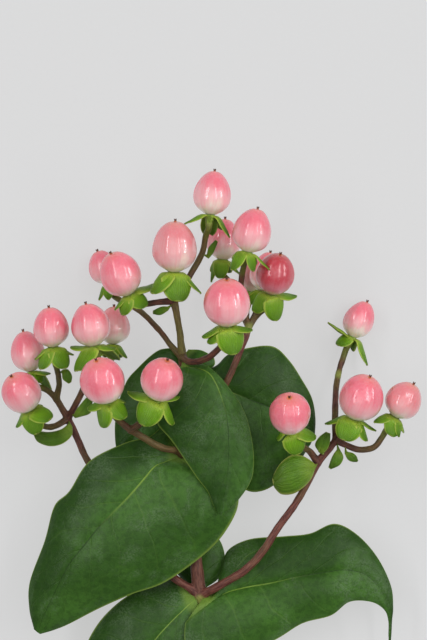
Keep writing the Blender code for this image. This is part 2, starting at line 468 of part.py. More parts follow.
def sheet_normals(grid, rounds):
    """Directions square to a sheet, evened out between neighbouring rows and columns."""
    along = np.gradient(grid, axis=0)
    across = np.gradient(grid, axis=1)
    normal = unit(np.cross(across, along))
    for _ in range(rounds):
        rim = np.pad(normal, ((1, 1), (1, 1), (0, 0)), mode="edge")
        beside = rim[:-2, 1:-1] + rim[2:, 1:-1] + rim[1:-1, :-2] + rim[1:-1, 2:]
        normal = unit(normal + 0.25 * beside)
    return normal


def sheet(name, grid, thickness, rounds=0):
    """A closed sheet of even thickness whose two faces are split into triangles alike."""
    normal = sheet_normals(grid, rounds)
    rows, columns = grid.shape[:2]
    shape = bmesh.new()
    layers = []
    for side in (0.5, -0.5):
        points = grid + normal * (side * thickness)
        layers.append([[shape.verts.new(place(points[i, j])) for j in range(columns)]
                       for i in range(rows)])
    for layer in layers:
        for i in range(rows - 1):
            for j in range(columns - 1):
                a, b = layer[i][j], layer[i][j + 1]
                c, d = layer[i + 1][j + 1], layer[i + 1][j]
                if j < (columns - 1) / 2:
                    shape.faces.new((a, b, d))
                    shape.faces.new((b, c, d))
                else:
                    shape.faces.new((a, b, c))
                    shape.faces.new((a, c, d))
    rim = [(0, j) for j in range(columns)]
    rim += [(i, columns - 1) for i in range(1, rows)]
    rim += [(rows - 1, j) for j in range(columns - 2, -1, -1)]
    rim += [(i, 0) for i in range(rows - 2, 0, -1)]
    top, bottom = layers
    for index, (i, j) in enumerate(rim):
        k, l = rim[(index + 1) % len(rim)]
        shape.faces.new((top[i][j], top[k][l], bottom[k][l]))
        shape.faces.new((top[i][j], bottom[k][l], bottom[i][j]))
    return object_from_bmesh(name, shape)


def blade_grid(rows, columns, steps, arch, wave):
    """Points of a leaf: each half arches up from the midrib and the edge waves a little."""
    table = smooth_rows([sum(row, ()) for row in rows], steps)
    mid, left, right = table[:, 0:3], table[:, 3:6], table[:, 6:9]
    grid = np.zeros((len(table), columns + 1, 3))
    for j in range(columns + 1):
        u = 2 * j / columns - 1
        edge = left if u < 0 else right
        reach = np.linalg.norm(edge - mid, axis=1)
        share = abs(u)
        run = np.linspace(0, 1, len(table))
        lift = arch * 4 * share * (1 - share) * reach * np.minimum(run / ARCH_START, 1.0)
        lift += wave * share ** 2 * reach * np.sin(run * 17.0 + (1.3 if u < 0 else 3.1))
        grid[:, j] = mid + (edge - mid) * share
        grid[:, j, 2] += lift
    return grid


def berry_frame(spec):
    """Base point and the axis, forward and right directions of a berry."""
    centre, width, length, lean, tilt = spec[:5]
    lean = math.radians(lean)
    tilt = math.radians(tilt)
    axis = np.array((math.sin(lean) * math.cos(tilt), math.cos(lean) * math.cos(tilt),
                     math.sin(tilt)))
    right = np.array((math.cos(lean), -math.sin(lean), 0.0))
    forward = np.cross(right, axis)
    base = np.array(centre) - axis * length / 2
    return base, axis, forward, right


def berry_radius(share, angle, width, tilt):
    """Radius at a share of a berry's length: an egg with three shallow lobes.

    Berries that point up from the surface are rounder than those that lie level.
    """
    round_part = math.sqrt(max(1 - (2 * share - 1) ** 2, 0.0))
    taper = 1 + BERRY_TAPER * (1 - max(tilt, 0) / TAPER_TILT) * (BERRY_WIDEST - share)
    lobe = 1 + BERRY_LOBE * math.cos(3 * angle) * round_part
    return width / 2 * round_part * taper * lobe


def make_berry(name, spec):
    base, axis, forward, right = berry_frame(spec)
    width, length, tilt = spec[1], spec[2], spec[4]
    body = bmesh.new()
    bmesh.ops.create_uvsphere(body, u_segments=BERRY_SEGMENTS, v_segments=BERRY_RINGS, radius=1.0)
    for vert in body.verts:
        share = (vert.co.z + 1) / 2
        angle = math.atan2(vert.co.y, vert.co.x)
        radius = berry_radius(share, angle, width, tilt)
        if abs(vert.co.x) + abs(vert.co.y) < 1e-4:
            radius = 0.0
        point = base + axis * (length * share)
        point = point + forward * (radius * math.cos(angle)) + right * (radius * math.sin(angle))
        vert.co = place(point)
    pieces = [object_from_bmesh(name + "_body", body)]
    for number in range(3):
        turn = math.radians(120 * number + 20)
        outward = forward * math.cos(turn) + right * math.sin(turn)
        spread = math.radians(TIP_SPREAD)
        lean = axis * math.cos(spread) + outward * math.sin(spread)
        root = base + axis * (length - TIP_SINK) + outward * 0.12
        tip = bmesh.new()
        bmesh.ops.create_cone(tip, cap_ends=True, segments=4, radius1=TIP_RADIUS * MM,
                              radius2=TIP_END_RADIUS * MM, depth=TIP_LENGTH * MM)
        turn_up = Vector((0, 0, 1)).rotation_difference(Vector(lean)).to_matrix().to_4x4()
        middle = place(root + lean * (TIP_LENGTH / 2))
        bmesh.ops.transform(tip, matrix=Matrix.Translation(middle) @ turn_up, verts=tip.verts)
        pieces.append(object_from_bmesh(name + "_tip_%d" % number, tip))
    return fuse(name, pieces)


def sepal_grid(spec, sepal, rows, columns):
    """Points of one sepal: it leaves the cup level and bends back toward the stalk."""
    base, axis, forward, right = berry_frame(spec)
    turn, length, width, bend = sepal
    length = length * SEPAL_LONGER
    width = width * SEPAL_WIDER
    rise = math.radians(-SEPAL_RISE)
    fall = math.radians(bend * SEPAL_DROOP) - rise
    turn = math.radians(turn)
    outward = forward * math.cos(turn) + right * math.sin(turn)
    across = np.cross(axis, outward)
    start = base - axis * (GAP + SEPAL_ROOT_DEPTH) + outward * SEPAL_ROOT_RADIUS
    roundness = min(max((width / length - 0.4) / 0.35, 0.0), 1.0)
    power = 0.85 - 0.4 * roundness
    grid = np.zeros((rows + 1, columns + 1, 3))
    point = start.copy()
    for i in range(rows + 1):
        t = i / rows
        if i:
            parts = 6
            for part in range(parts):
                s = (i - 1 + (part + 0.5) / parts) / rows
                ease = min(s / SEPAL_BEND_END, 1.0)
                angle = rise + fall * ease * ease * (3 - 2 * ease)
                step = outward * math.cos(angle) - axis * math.sin(angle)
                point = point + step * (length / rows / parts)
        ease = min(t / SEPAL_BEND_END, 1.0)
        angle = rise + fall * ease * ease * (3 - 2 * ease)
        up = axis * math.cos(angle) + outward * math.sin(angle)
        swell = (4 * t ** 0.8 * (1 - t ** 0.8)) ** power if 0 < t < 1 else 0.0
        half = width / 2 * min(swell + 0.2 * (1 - t) ** 3, 1.0) + 0.14
        for j in range(columns + 1):
            u = 2 * j / columns - 1
            grid[i, j] = point + across * (half * u) - up * (SEPAL_ARCH * half * u * u)
    return grid


def make_calyx(name, spec):
    base, axis, forward, right = berry_frame(spec)
    cup = bmesh.new()
    bmesh.ops.create_cone(cup, cap_ends=True, segments=8, radius1=CUP_FOOT_RADIUS * MM,
                          radius2=CUP_TOP_RADIUS * MM, depth=CUP_LENGTH * MM)
    turn_up = Vector((0, 0, 1)).rotation_difference(Vector(axis)).to_matrix().to_4x4()
    middle = place(base - axis * (GAP + CUP_LENGTH / 2))
    bmesh.ops.transform(cup, matrix=Matrix.Translation(middle) @ turn_up, verts=cup.verts)
    pieces = [object_from_bmesh(name + "_cup", cup)]
    for number, sepal in enumerate(spec[6]):
        rows = SEPAL_ROWS if sepal[1] > SMALL_SEPAL else SMALL_SEPAL_ROWS
        grid = sepal_grid(spec, sepal, rows, SEPAL_COLUMNS)
        pieces.append(sheet(name + "_sepal_%d" % number, grid, SEPAL_THICKNESS))
    return fuse(name, pieces)


def tube(name, points, resolution):
    """A round stem through points of x, y, z, radius, closed at both ends."""
    curve = bpy.data.curves.new(name, "CURVE")
    curve.dimensions = "3D"
    curve.bevel_depth = MM
    curve.bevel_resolution = resolution
    curve.use_fill_caps = True
    spline = curve.splines.new("POLY")
    spline.points.add(len(points) - 1)
    for knot, point in zip(spline.points, points):
        knot.co = (*place(point), 1.0)
        knot.radius = point[3]
    source = bpy.data.objects.new(name + "_line", curve)
    bpy.context.scene.collection.objects.link(source)
    bpy.context.view_layer.update()
    graph = bpy.context.evaluated_depsgraph_get()
    mesh = bpy.data.meshes.new_from_object(source.evaluated_get(graph))
    bpy.data.objects.remove(source, do_unlink=True)
    bpy.data.curves.remove(curve)
    shape = bmesh.new()
    shape.from_mesh(mesh)
    bpy.data.meshes.remove(mesh)
    bmesh.ops.remove_doubles(shape, verts=shape.verts, dist=1e-6)
    return object_from_bmesh(name, shape)


def stalk_points(name):
    """A stalk from its parent to just below the calyx, which it meets square."""
    base, axis = berry_frame(BERRIES[name])[:2]
    end = base - axis * (2 * GAP + CUP_LENGTH)
    before = end - axis * STALK_STRAIGHT
    rows = smooth_rows(list(STALKS[name]) + [(*before, STALK_RADIUS)], 1)
    return np.vstack((rows, (*end, STALK_END_RADIUS)))


def make_stem():
    pieces = []
    for number, run in enumerate(STEM_RUNS):
        pieces.append(tube("run_%d" % number, smooth_rows(run, 2), 2))
    for name in STALKS:
        pieces.append(tube("stalk_" + name, stalk_points(name), 1))
    for number, (x, y, z, radius) in enumerate(SWELLINGS):
        knot = bmesh.new()
        bmesh.ops.create_uvsphere(knot, u_segments=8, v_segments=6,
                                  radius=radius * SWELLING * MM)
        bmesh.ops.translate(knot, vec=place((x, y, z)), verts=knot.verts)
        pieces.append(object_from_bmesh("knot_%d" % number, knot))
    return fuse("stem", pieces)


def main():
    clear_scene()
    collection = bpy.data.collections.new(NAME)
    bpy.context.scene.collection.children.link(collection)
    finish(make_stem(), "stem_bark", collection, 40)
    for name, spec in BERRIES.items():
        finish(make_berry(name, spec), spec[5], collection, 60)
        calyx = "calyx_" + name.replace("berry_", "")
        finish(make_calyx(calyx, spec), "sepal_green", collection, 50)
    for name, rows in LEAVES.items():
        grid = blade_grid(rows, LEAF_COLUMNS, 1, LEAF_ARCH, LEAF_WAVE)
        finish(sheet(name, grid, LEAF_THICKNESS, EVEN_ROUNDS), "leaf_green", collection, 50)
    for name, rows in BRACTS.items():
        grid = blade_grid(rows, BRACT_COLUMNS, 1, BRACT_ARCH, 0.0)
        finish(sheet(name, grid, BRACT_THICKNESS), "bract_green", collection, 50)


main()
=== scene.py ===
"""Cut hypericum stem with pink berries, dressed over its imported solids.

The tables are in millimetres. X runs to the right, Y runs from the cut end to the berry head,
Z points up from the surface. X and Y are counted from the lowest leaf node of the stem.
"""
import math
from contextlib import contextmanager

import bpy
import numpy as np
from mathutils import Matrix, Vector, noise


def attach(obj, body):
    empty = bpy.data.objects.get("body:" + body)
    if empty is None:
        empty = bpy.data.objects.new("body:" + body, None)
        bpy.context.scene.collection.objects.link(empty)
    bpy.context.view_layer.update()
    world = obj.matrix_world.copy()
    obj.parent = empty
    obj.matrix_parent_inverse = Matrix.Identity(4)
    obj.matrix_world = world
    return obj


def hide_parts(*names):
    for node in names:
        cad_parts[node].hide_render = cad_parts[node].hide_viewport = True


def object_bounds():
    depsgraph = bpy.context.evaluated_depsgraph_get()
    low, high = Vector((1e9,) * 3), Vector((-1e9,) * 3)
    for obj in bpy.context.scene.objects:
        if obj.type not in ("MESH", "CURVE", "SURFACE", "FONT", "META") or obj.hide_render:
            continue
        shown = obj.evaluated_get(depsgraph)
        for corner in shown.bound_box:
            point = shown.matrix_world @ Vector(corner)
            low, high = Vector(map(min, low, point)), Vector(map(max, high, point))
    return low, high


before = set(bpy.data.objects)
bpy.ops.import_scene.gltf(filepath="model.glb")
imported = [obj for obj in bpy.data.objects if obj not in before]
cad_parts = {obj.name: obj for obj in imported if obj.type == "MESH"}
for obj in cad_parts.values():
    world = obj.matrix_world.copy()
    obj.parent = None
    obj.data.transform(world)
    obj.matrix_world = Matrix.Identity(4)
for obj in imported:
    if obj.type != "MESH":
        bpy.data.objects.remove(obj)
solid_low, solid_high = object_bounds()

MM = 0.001
TINY = 1e-9
# The table point that is the origin of the finished model.
ORIGIN = np.array((3.0, 0.0, 0.0))

# The camera: the table point in plan it looks down on, the height in millimetres whose scale is
# the photo's, that scale in millimetres a pixel, the photo's height, and its own place in metres.
VIEW = (3.78, 77.56)
VIEW_LEVEL = 27
PHOTO_SCALE = 0.28
PHOTO_HEIGHT = 640
CAMERA_HEIGHT = 2.4
SENSOR = 36.0
FLOOR_DROP = -0.00005

# Berries.
GAP = 0.35
BERRY_SEGMENTS = 72
BERRY_RINGS = 44
BERRY_LOBE = 0.025
BERRY_TAPER = 0.4
TAPER_TILT = 44.0
BERRY_WIDEST = 0.45
BERRY_RIBS = 9
FINE_RIBS = 13
BERRY_RIB = 0.0085
BERRY_DENT = 0.012
FURROW_WIDTH = 0.10
TIP_DIP = 0.30
TIP_DIP_WIDTH = 0.012
FOOT_DIP = 0.28
FOOT_DIP_WIDTH = 0.05
BERRY_UNEVEN = 0.10
BERRY_RIPPLE = 6.5
SEED_STEP = 1.7
STYLE_RADII = (0.33, 0.25, 0.21, 0.19, 0.12)

# Calyxes: the cup's profile is given as radius and height.
CUP_LENGTH = 1.7
CUP_PROFILE = ((1.02, -0.60), (1.12, -0.1), (1.26, 0.40), (1.46, 0.80), (1.66, 1.18),
               (1.76, 1.48), (1.70, 1.76), (1.40, 1.88), (0.85, 1.84))
SEPAL_ROWS = 18
SEPAL_COLUMNS = 14
SEPAL_PARTS = 4
SEPAL_THICKNESS = 0.42
SEPAL_ROOT_RADIUS = 0.9
SEPAL_ROOT_DEPTH = 0.42
SEPAL_ARCH = 0.22
SEPAL_BEND_END = 0.34
SEPAL_RISE = 24.0
SEPAL_LONGER = 1.14
SEPAL_WIDER = 1.1
SEPAL_DROOP = 1.2
SEPAL_VEINS = 7
SEPAL_VEIN_HEIGHT = 0.05
SEPAL_HOLLOW = 0.10
SEPAL_UNEVEN = 0.10
SEPAL_RIPPLE = 2.6

# Leaves and bracts.
BLADE_STEPS = 8
ARCH_START = 0.15
BLADE_CROWDING = 1.25
RIM_WAVES = 17.0
RIM_ROLL = 0.25
RIM_START = 0.86
THIN_RIM = (0.75, 1.0)
CHANNEL_WIDTH = 0.9
VEIN_BAND = (0.38, 0.5)
VEIN_ENDS = (0.75, 0.97)
# Soft dents of a blade, then lumps of the bark: size of a ripple and height.
DENTS = ((9.0, 0.16), (3.4, 0.06))
LUMPS = ((2.2, 0.05), (0.55, 0.035))
LEAF_PAIRS = 7.0
LEAF_SLANT = 0.24
LEAF_THICKNESS = 0.45
BRACT_THICKNESS = 0.42
LEAF_SHAPE = {"columns": 40, "arch": 0.10, "wave": 0.045, "groove": 0.26, "vein_depth": 0.05}
BRACT_SHAPE = {"columns": 20, "arch": 0.14, "wave": 0.0, "groove": 0.08, "vein_depth": 0.0}

# Stem.
STEM_STEPS = 8
STALK_STEPS = 5
STEM_VOXEL = 0.27
SWELLING = 1.16
STALK_STRAIGHT = 1.6
STALK_RADIUS = 0.92
STALK_END_RADIUS = 1.1
STALK_DEPTH = 0.5
RUNS_APART = 37.0
# Distances over which a stalk turns green and then fresh toward its calyx, and round a mark.
GREEN_REACH = (1.5, 9.0)
FRESH_REACH = (0.2, 2.6)
MARK_REACH = (0.6, 2.2)
CUT_SHARE = 0.93
CUT_RINGS = (0.12, 0.16, 0.2, 0.2)
CUT_THICKNESS = 0.5

# Berries: centre x, y, z, width, length, lean to the right and tilt up in degrees, skin,
# then the five sepals as (turn round the stalk, length, width, bend back).
BERRIES = {
    "berry_top": ((3.5, 113.3, 26.0), 10.6, 12.3, 6, -3, "berry_skin", (
        (-56, 7.3, 2.4, 26), (-168, 6.2, 3.1, 50), (164, 5.8, 3.2, 58),
        (68, 7.5, 2.6, 46), (124, 4.4, 2.6, 44))),
    "berry_upper_right": ((14.7, 102.8, 31.4), 10.9, 12.3, 14, 4, "berry_skin", (
        (-48, 6.2, 4.2, 62), (48, 5.2, 3.4, 56), (94, 6.4, 2.2, 28),
        (150, 5.0, 3.6, 34), (-150, 5.0, 4.0, 34))),
    "berry_upper_back": ((6.7, 100.5, 13.0), 9.8, 11.4, 4, 0, "berry_skin", (
        (-6, 5.4, 3.8, 66), (-66, 6.6, 2.6, 72), (76, 5.0, 3.2, 40),
        (150, 4.4, 3.2, 45), (-140, 4.4, 3.2, 45))),
    "berry_crown": ((-7.1, 98.3, 33.0), 12.6, 14.2, 2, 8, "berry_skin_pale", (
        (18, 8.5, 7.6, 58), (-52, 7.8, 6.2, 42), (84, 8.3, 3.4, 40),
        (140, 4.4, 3.6, 20), (-164, 4.2, 3.6, 20))),
    "berry_left": ((-22.4, 90.6, 31.0), 11.5, 12.9, -24, 16, "berry_skin", (
        (-52, 5.0, 5.3, 44), (40, 5.0, 5.3, 48), (114, 8.0, 5.2, 11),
        (-92, 4.6, 2.6, 26), (-150, 5.0, 4.0, 30))),
    "berry_left_back": ((-27.4, 92.7, 3.94), 8.4, 9.4, -20, 0, "berry_skin", (
        (-68, 4.6, 2.8, 42), (-20, 5.3, 2.9, 48), (70, 4.2, 3.0, 40),
        (148, 3.2, 2.6, 66), (-144, 3.2, 2.6, 66))),
    "berry_front": ((7.5, 82.5, 45.0), 13.2, 13.7, 0, 20, "berry_skin", (
        (-72, 5.7, 5.6, 42), (28, 7.4, 7.5, 64), (-98, 6.2, 4.4, 30),
        (84, 5.6, 3.6, 8), (166, 4.2, 3.6, 10))),
    "berry_right": ((21.2, 90.6, 25.0), 10.9, 12.0, 14, 20, "berry_skin_dark", (
        (50, 6.8, 7.1, 60), (124, 7.0, 4.0, 4), (-46, 6.0, 5.2, 54),
        (150, 4.6, 3.6, 34), (-145, 4.6, 3.6, 34))),
    "berry_right_mid": ((18.5, 91.3, 14.2), 8.6, 11.0, 14, 0, "berry_skin", (
        (-20, 4.4, 3.4, 60), (60, 4.4, 3.2, 50), (-94, 4.4, 3.2, 45), (130, 3.8, 3.0, 50),
        (-160, 3.8, 3.0, 50))),
    "berry_right_back": ((15.1, 90.2, 5.6), 7.4, 9.0, 10, 0, "berry_skin_pale", (
        (-34, 3.8, 2.8, 55), (44, 3.6, 2.8, 58), (-104, 3.8, 2.8, 45), (116, 3.4, 2.6, 55),
        (180, 3.0, 2.6, 68))),
    "berry_far_left_top": ((-41.8, 75.7, 24.0), 10.1, 11.2, -6, 8, "berry_skin", (
        (-54, 6.3, 5.6, 52), (36, 6.4, 5.9, 56), (-104, 5.0, 3.6, 32),
        (108, 5.0, 3.6, 32), (178, 3.8, 3.2, 16))),
    "berry_far_left_mid": ((-48.6, 68.9, 15.0), 9.8, 11.5, -12, 0, "berry_skin", (
        (72, 4.0, 4.0, 18), (36, 3.8, 4.0, 54), (-86, 4.8, 3.4, 36),
        (128, 7.4, 3.6, 56), (-156, 4.6, 3.6, 44))),
    "berry_far_left_low": ((-50.4, 57.3, 27.0), 11.2, 11.8, -30, 28, "berry_skin", (
        (-104, 5.6, 3.6, 34), (-24, 6.3, 5.9, 56), (28, 6.6, 5.0, 18),
        (150, 4.8, 3.8, 34), (-134, 4.8, 3.8, 34))),
    "berry_mid_left": ((-30.7, 76.4, 29.0), 10.9, 12.0, -12, 4, "berry_skin", (
        (-52, 8.2, 7.6, 38), (68, 4.9, 4.4, 19), (130, 8.0, 4.6, 40),
        (-128, 6.8, 4.2, -6), (172, 4.2, 3.4, 8))),
    "berry_mid_left_back": ((-24.4, 76.2, 12.5), 9.4, 10.6, 2, 0, "berry_skin_pale", (
        (0, 4.4, 3.4, 58), (72, 4.4, 3.4, 46), (-72, 4.4, 3.4, 46), (144, 4.0, 3.2, 50),
        (-144, 4.0, 3.2, 50))),
    "berry_lower_left": ((-27.2, 60.8, 43.0), 12.6, 13.4, -16, 28, "berry_skin", (
        (-66, 6.7, 7.2, 62), (52, 5.6, 5.9, 54), (-112, 5.1, 4.0, 14),
        (136, 5.0, 4.2, 34), (-146, 5.0, 4.2, 34))),
    "berry_centre": ((-10.5, 61.1, 43.0), 11.8, 12.6, 16, 28, "berry_skin", (
        (-20, 7.3, 7.0, 58), (92, 7.8, 5.8, 48), (-94, 6.6, 4.2, 6),
        (136, 6.9, 2.4, 6), (174, 5.0, 4.0, 36))),
    "berry_right_low": ((25.1, 51.5, 35.0), 11.6, 12.2, -2, 42, "berry_skin", (
        (26, 6.0, 6.1, 54), (94, 6.3, 5.0, 28), (-104, 4.4, 3.4, 52),
        (-150, 4.4, 3.4, 36), (152, 4.7, 3.7, 38))),
    "berry_right_top": ((45.1, 77.9, 4.03), 8.6, 10.6, 24, 0, "berry_skin", (
        (-56, 7.6, 2.8, -6), (-36, 4.6, 4.1, 46), (72, 8.0, 3.8, 40),
        (128, 3.4, 2.8, 62), (-150, 3.2, 2.8, 68))),
    "berry_right_mid_low": ((45.3, 56.0, 27.0), 12.6, 13.2, 22, 20, "berry_skin", (
        (-2, 6.2, 6.5, 50), (82, 6.2, 4.8, 40), (112, 6.5, 2.4, 16),
        (-90, 6.8, 3.4, 40), (148, 5.0, 4.0, 34))),
    "berry_far_right": ((57.4, 55.2, 23.0), 10.1, 10.6, 31, 10, "berry_skin_pale", (
        (-44, 5.6, 3.0, 36), (30, 5.1, 5.4, 56), (64, 4.8, 3.0, 48),
        (120, 4.6, 3.6, 34), (-150, 4.6, 3.6, 40))),
}

# Nodes of the stem: x, y, z, radius of the stem there.
CUT_END = (2.0, -121.0, 1.79, 1.8)
NODE_LOW = (0.0, 0.0, 16.0, 1.9)
NODE_MID = (-4.2, 39.5, 20.0, 1.65)
NODE_HIGH = (-4.9, 67.0, 24.0, 1.25)
NODE_CROWN = (-7.3, 82.9, 26.0, 1.15)
FORK_INNER = (13.7, 75.3, 22.0, 0.95)
FORK_FRONT = (-19.3, 46.8, 31.5, 1.05)
FORK_RIGHT = (33.0, 37.5, 20.0, 1.15)
FORK_RIGHT_HIGH = (38.1, 43.7, 20.0, 1.05)
FORK_LEFT = (-37.2, 49.8, 13.0, 1.05)
FORK_LEFT_HIGH = (-40.4, 55.2, 14.5, 0.95)
FORK_MID_LEFT = (-33.0, 57.7, 17.0, 0.95)

# Stem runs between nodes: control points x, y, z, radius.
STEM_RUNS = (
    (CUT_END, (1.2, -80.0, 6.6, 1.8), (0.4, -40.0, 11.4, 1.8), NODE_LOW),
    (NODE_LOW, (-1.6, 13.0, 17.4, 1.8), (-3.2, 26.0, 18.8, 1.7), NODE_MID),
    (NODE_MID, (-4.8, 54.0, 22.0, 1.4), NODE_HIGH),
    (NODE_HIGH, (-5.9, 75.5, 25.2, 0.95), NODE_CROWN),
    (NODE_LOW, (2.6, 1.4, 18.2, 1.25), (6.2, 3.4, 19.8, 1.2), (12.6, 7.3, 20.5, 1.15),
     (17.4, 12.3, 20.5, 1.15), (21.6, 18.8, 20.5, 1.1), (27.7, 27.4, 20.3, 1.05), FORK_RIGHT),
    (FORK_RIGHT, FORK_RIGHT_HIGH),
    (NODE_LOW, (-3.2, 2.4, 17.0, 1.15), (-7.0, 4.8, 16.8, 1.15), (-12.0, 9.5, 15.5, 1.1),
     (-20.5, 20.5, 13.5, 1.1), (-31.4, 37.5, 12.0, 1.05), (-34.2, 43.4, 12.0, 1.0), FORK_LEFT),
    (FORK_LEFT, FORK_LEFT_HIGH),
    (FORK_LEFT, (-35.0, 53.8, 15.0, 0.95), FORK_MID_LEFT),
    (NODE_MID, (3.0, 52.0, 22.0, 1.05), (7.8, 60.8, 22.0, 1.0), (12.0, 70.6, 22.0, 0.95),
     FORK_INNER),
    (NODE_MID, (-6.8, 41.0, 24.5, 1.1), (-11.2, 42.0, 28.0, 1.05), FORK_FRONT),
)

# Berry stalks: the points between the parent stem and the berry's calyx.
STALKS = {
    "berry_top": (NODE_CROWN, (-4.2, 87.9, 26.0, 0.95), (-2.1, 91.3, 25.0, 0.9),
                  (0.6, 96.3, 24.4, 0.9), (1.7, 101.4, 25.0, 0.9)),
    "berry_upper_right": (FORK_INNER, (11.8, 82.0, 24.0, 0.9), (11.5, 88.0, 26.6, 0.9)),
    "berry_upper_back": (FORK_INNER, (11.0, 81.5, 18.5, 0.85), (8.4, 88.0, 14.0, 0.85)),
    "berry_crown": (NODE_CROWN, (-7.4, 85.6, 28.4, 0.95)),
    "berry_left": (NODE_CROWN, (-11.0, 82.6, 26.4, 0.9), (-15.0, 82.0, 27.6, 0.9)),
    "berry_left_back": (NODE_HIGH, (-7.8, 70.0, 22.6, 0.85), (-11.6, 74.8, 19.6, 0.85),
                        (-16.6, 79.8, 13.6, 0.85), (-22.0, 82.8, 7.4, 0.85)),
    "berry_front": (NODE_HIGH, (-4.2, 66.5, 27.6, 0.95), (-2.4, 65.8, 30.0, 0.95),
                    (0.6, 66.3, 32.4, 0.95), (3.6, 68.0, 35.4, 0.95)),
    "berry_right": (FORK_INNER, (15.7, 78.6, 21.6, 0.9)),
    "berry_right_mid": (FORK_INNER, (15.6, 79.6, 17.0, 0.85)),
    "berry_right_back": (FORK_INNER, (13.2, 78.0, 14.5, 0.8), (13.2, 80.0, 8.5, 0.8)),
    "berry_far_left_top": (FORK_LEFT_HIGH, (-39.6, 60.5, 17.5, 0.85)),
    "berry_far_left_mid": (FORK_LEFT_HIGH, (-43.0, 57.8, 14.8, 0.85)),
    "berry_far_left_low": (FORK_LEFT, (-40.6, 47.8, 15.0, 0.9), (-43.5, 47.6, 18.5, 0.9)),
    "berry_mid_left": (FORK_MID_LEFT, (-31.0, 62.0, 22.0, 0.9)),
    "berry_mid_left_back": (FORK_MID_LEFT, (-29.0, 61.4, 14.4, 0.85)),
    "berry_lower_left": (FORK_FRONT, (-22.6, 49.4, 34.0, 0.95)),
    "berry_centre": (FORK_FRONT, (-15.8, 49.4, 34.6, 0.95)),
    "berry_right_low": (FORK_RIGHT, (30.6, 40.8, 22.0, 0.95), (27.2, 42.6, 25.6, 0.95)),
    "berry_right_top": (FORK_RIGHT_HIGH, (38.0, 51.9, 15.8, 0.95), (38.4, 58.8, 9.2, 0.9),
                        (39.5, 64.0, 5.2, 0.9)),
    "berry_right_mid_low": (FORK_RIGHT_HIGH, (39.8, 45.6, 21.2, 0.95)),
    "berry_far_right": (FORK_RIGHT_HIGH, (41.4, 42.2, 20.0, 0.9), (44.4, 41.2, 20.0, 0.9),
                        (48.4, 41.6, 20.2, 0.9), (50.8, 44.2, 20.6, 0.9)),
}
SWELLINGS = (NODE_LOW, NODE_MID, NODE_HIGH, NODE_CROWN, FORK_RIGHT, FORK_RIGHT_HIGH,
             FORK_LEFT, FORK_LEFT_HIGH, FORK_INNER, FORK_FRONT)

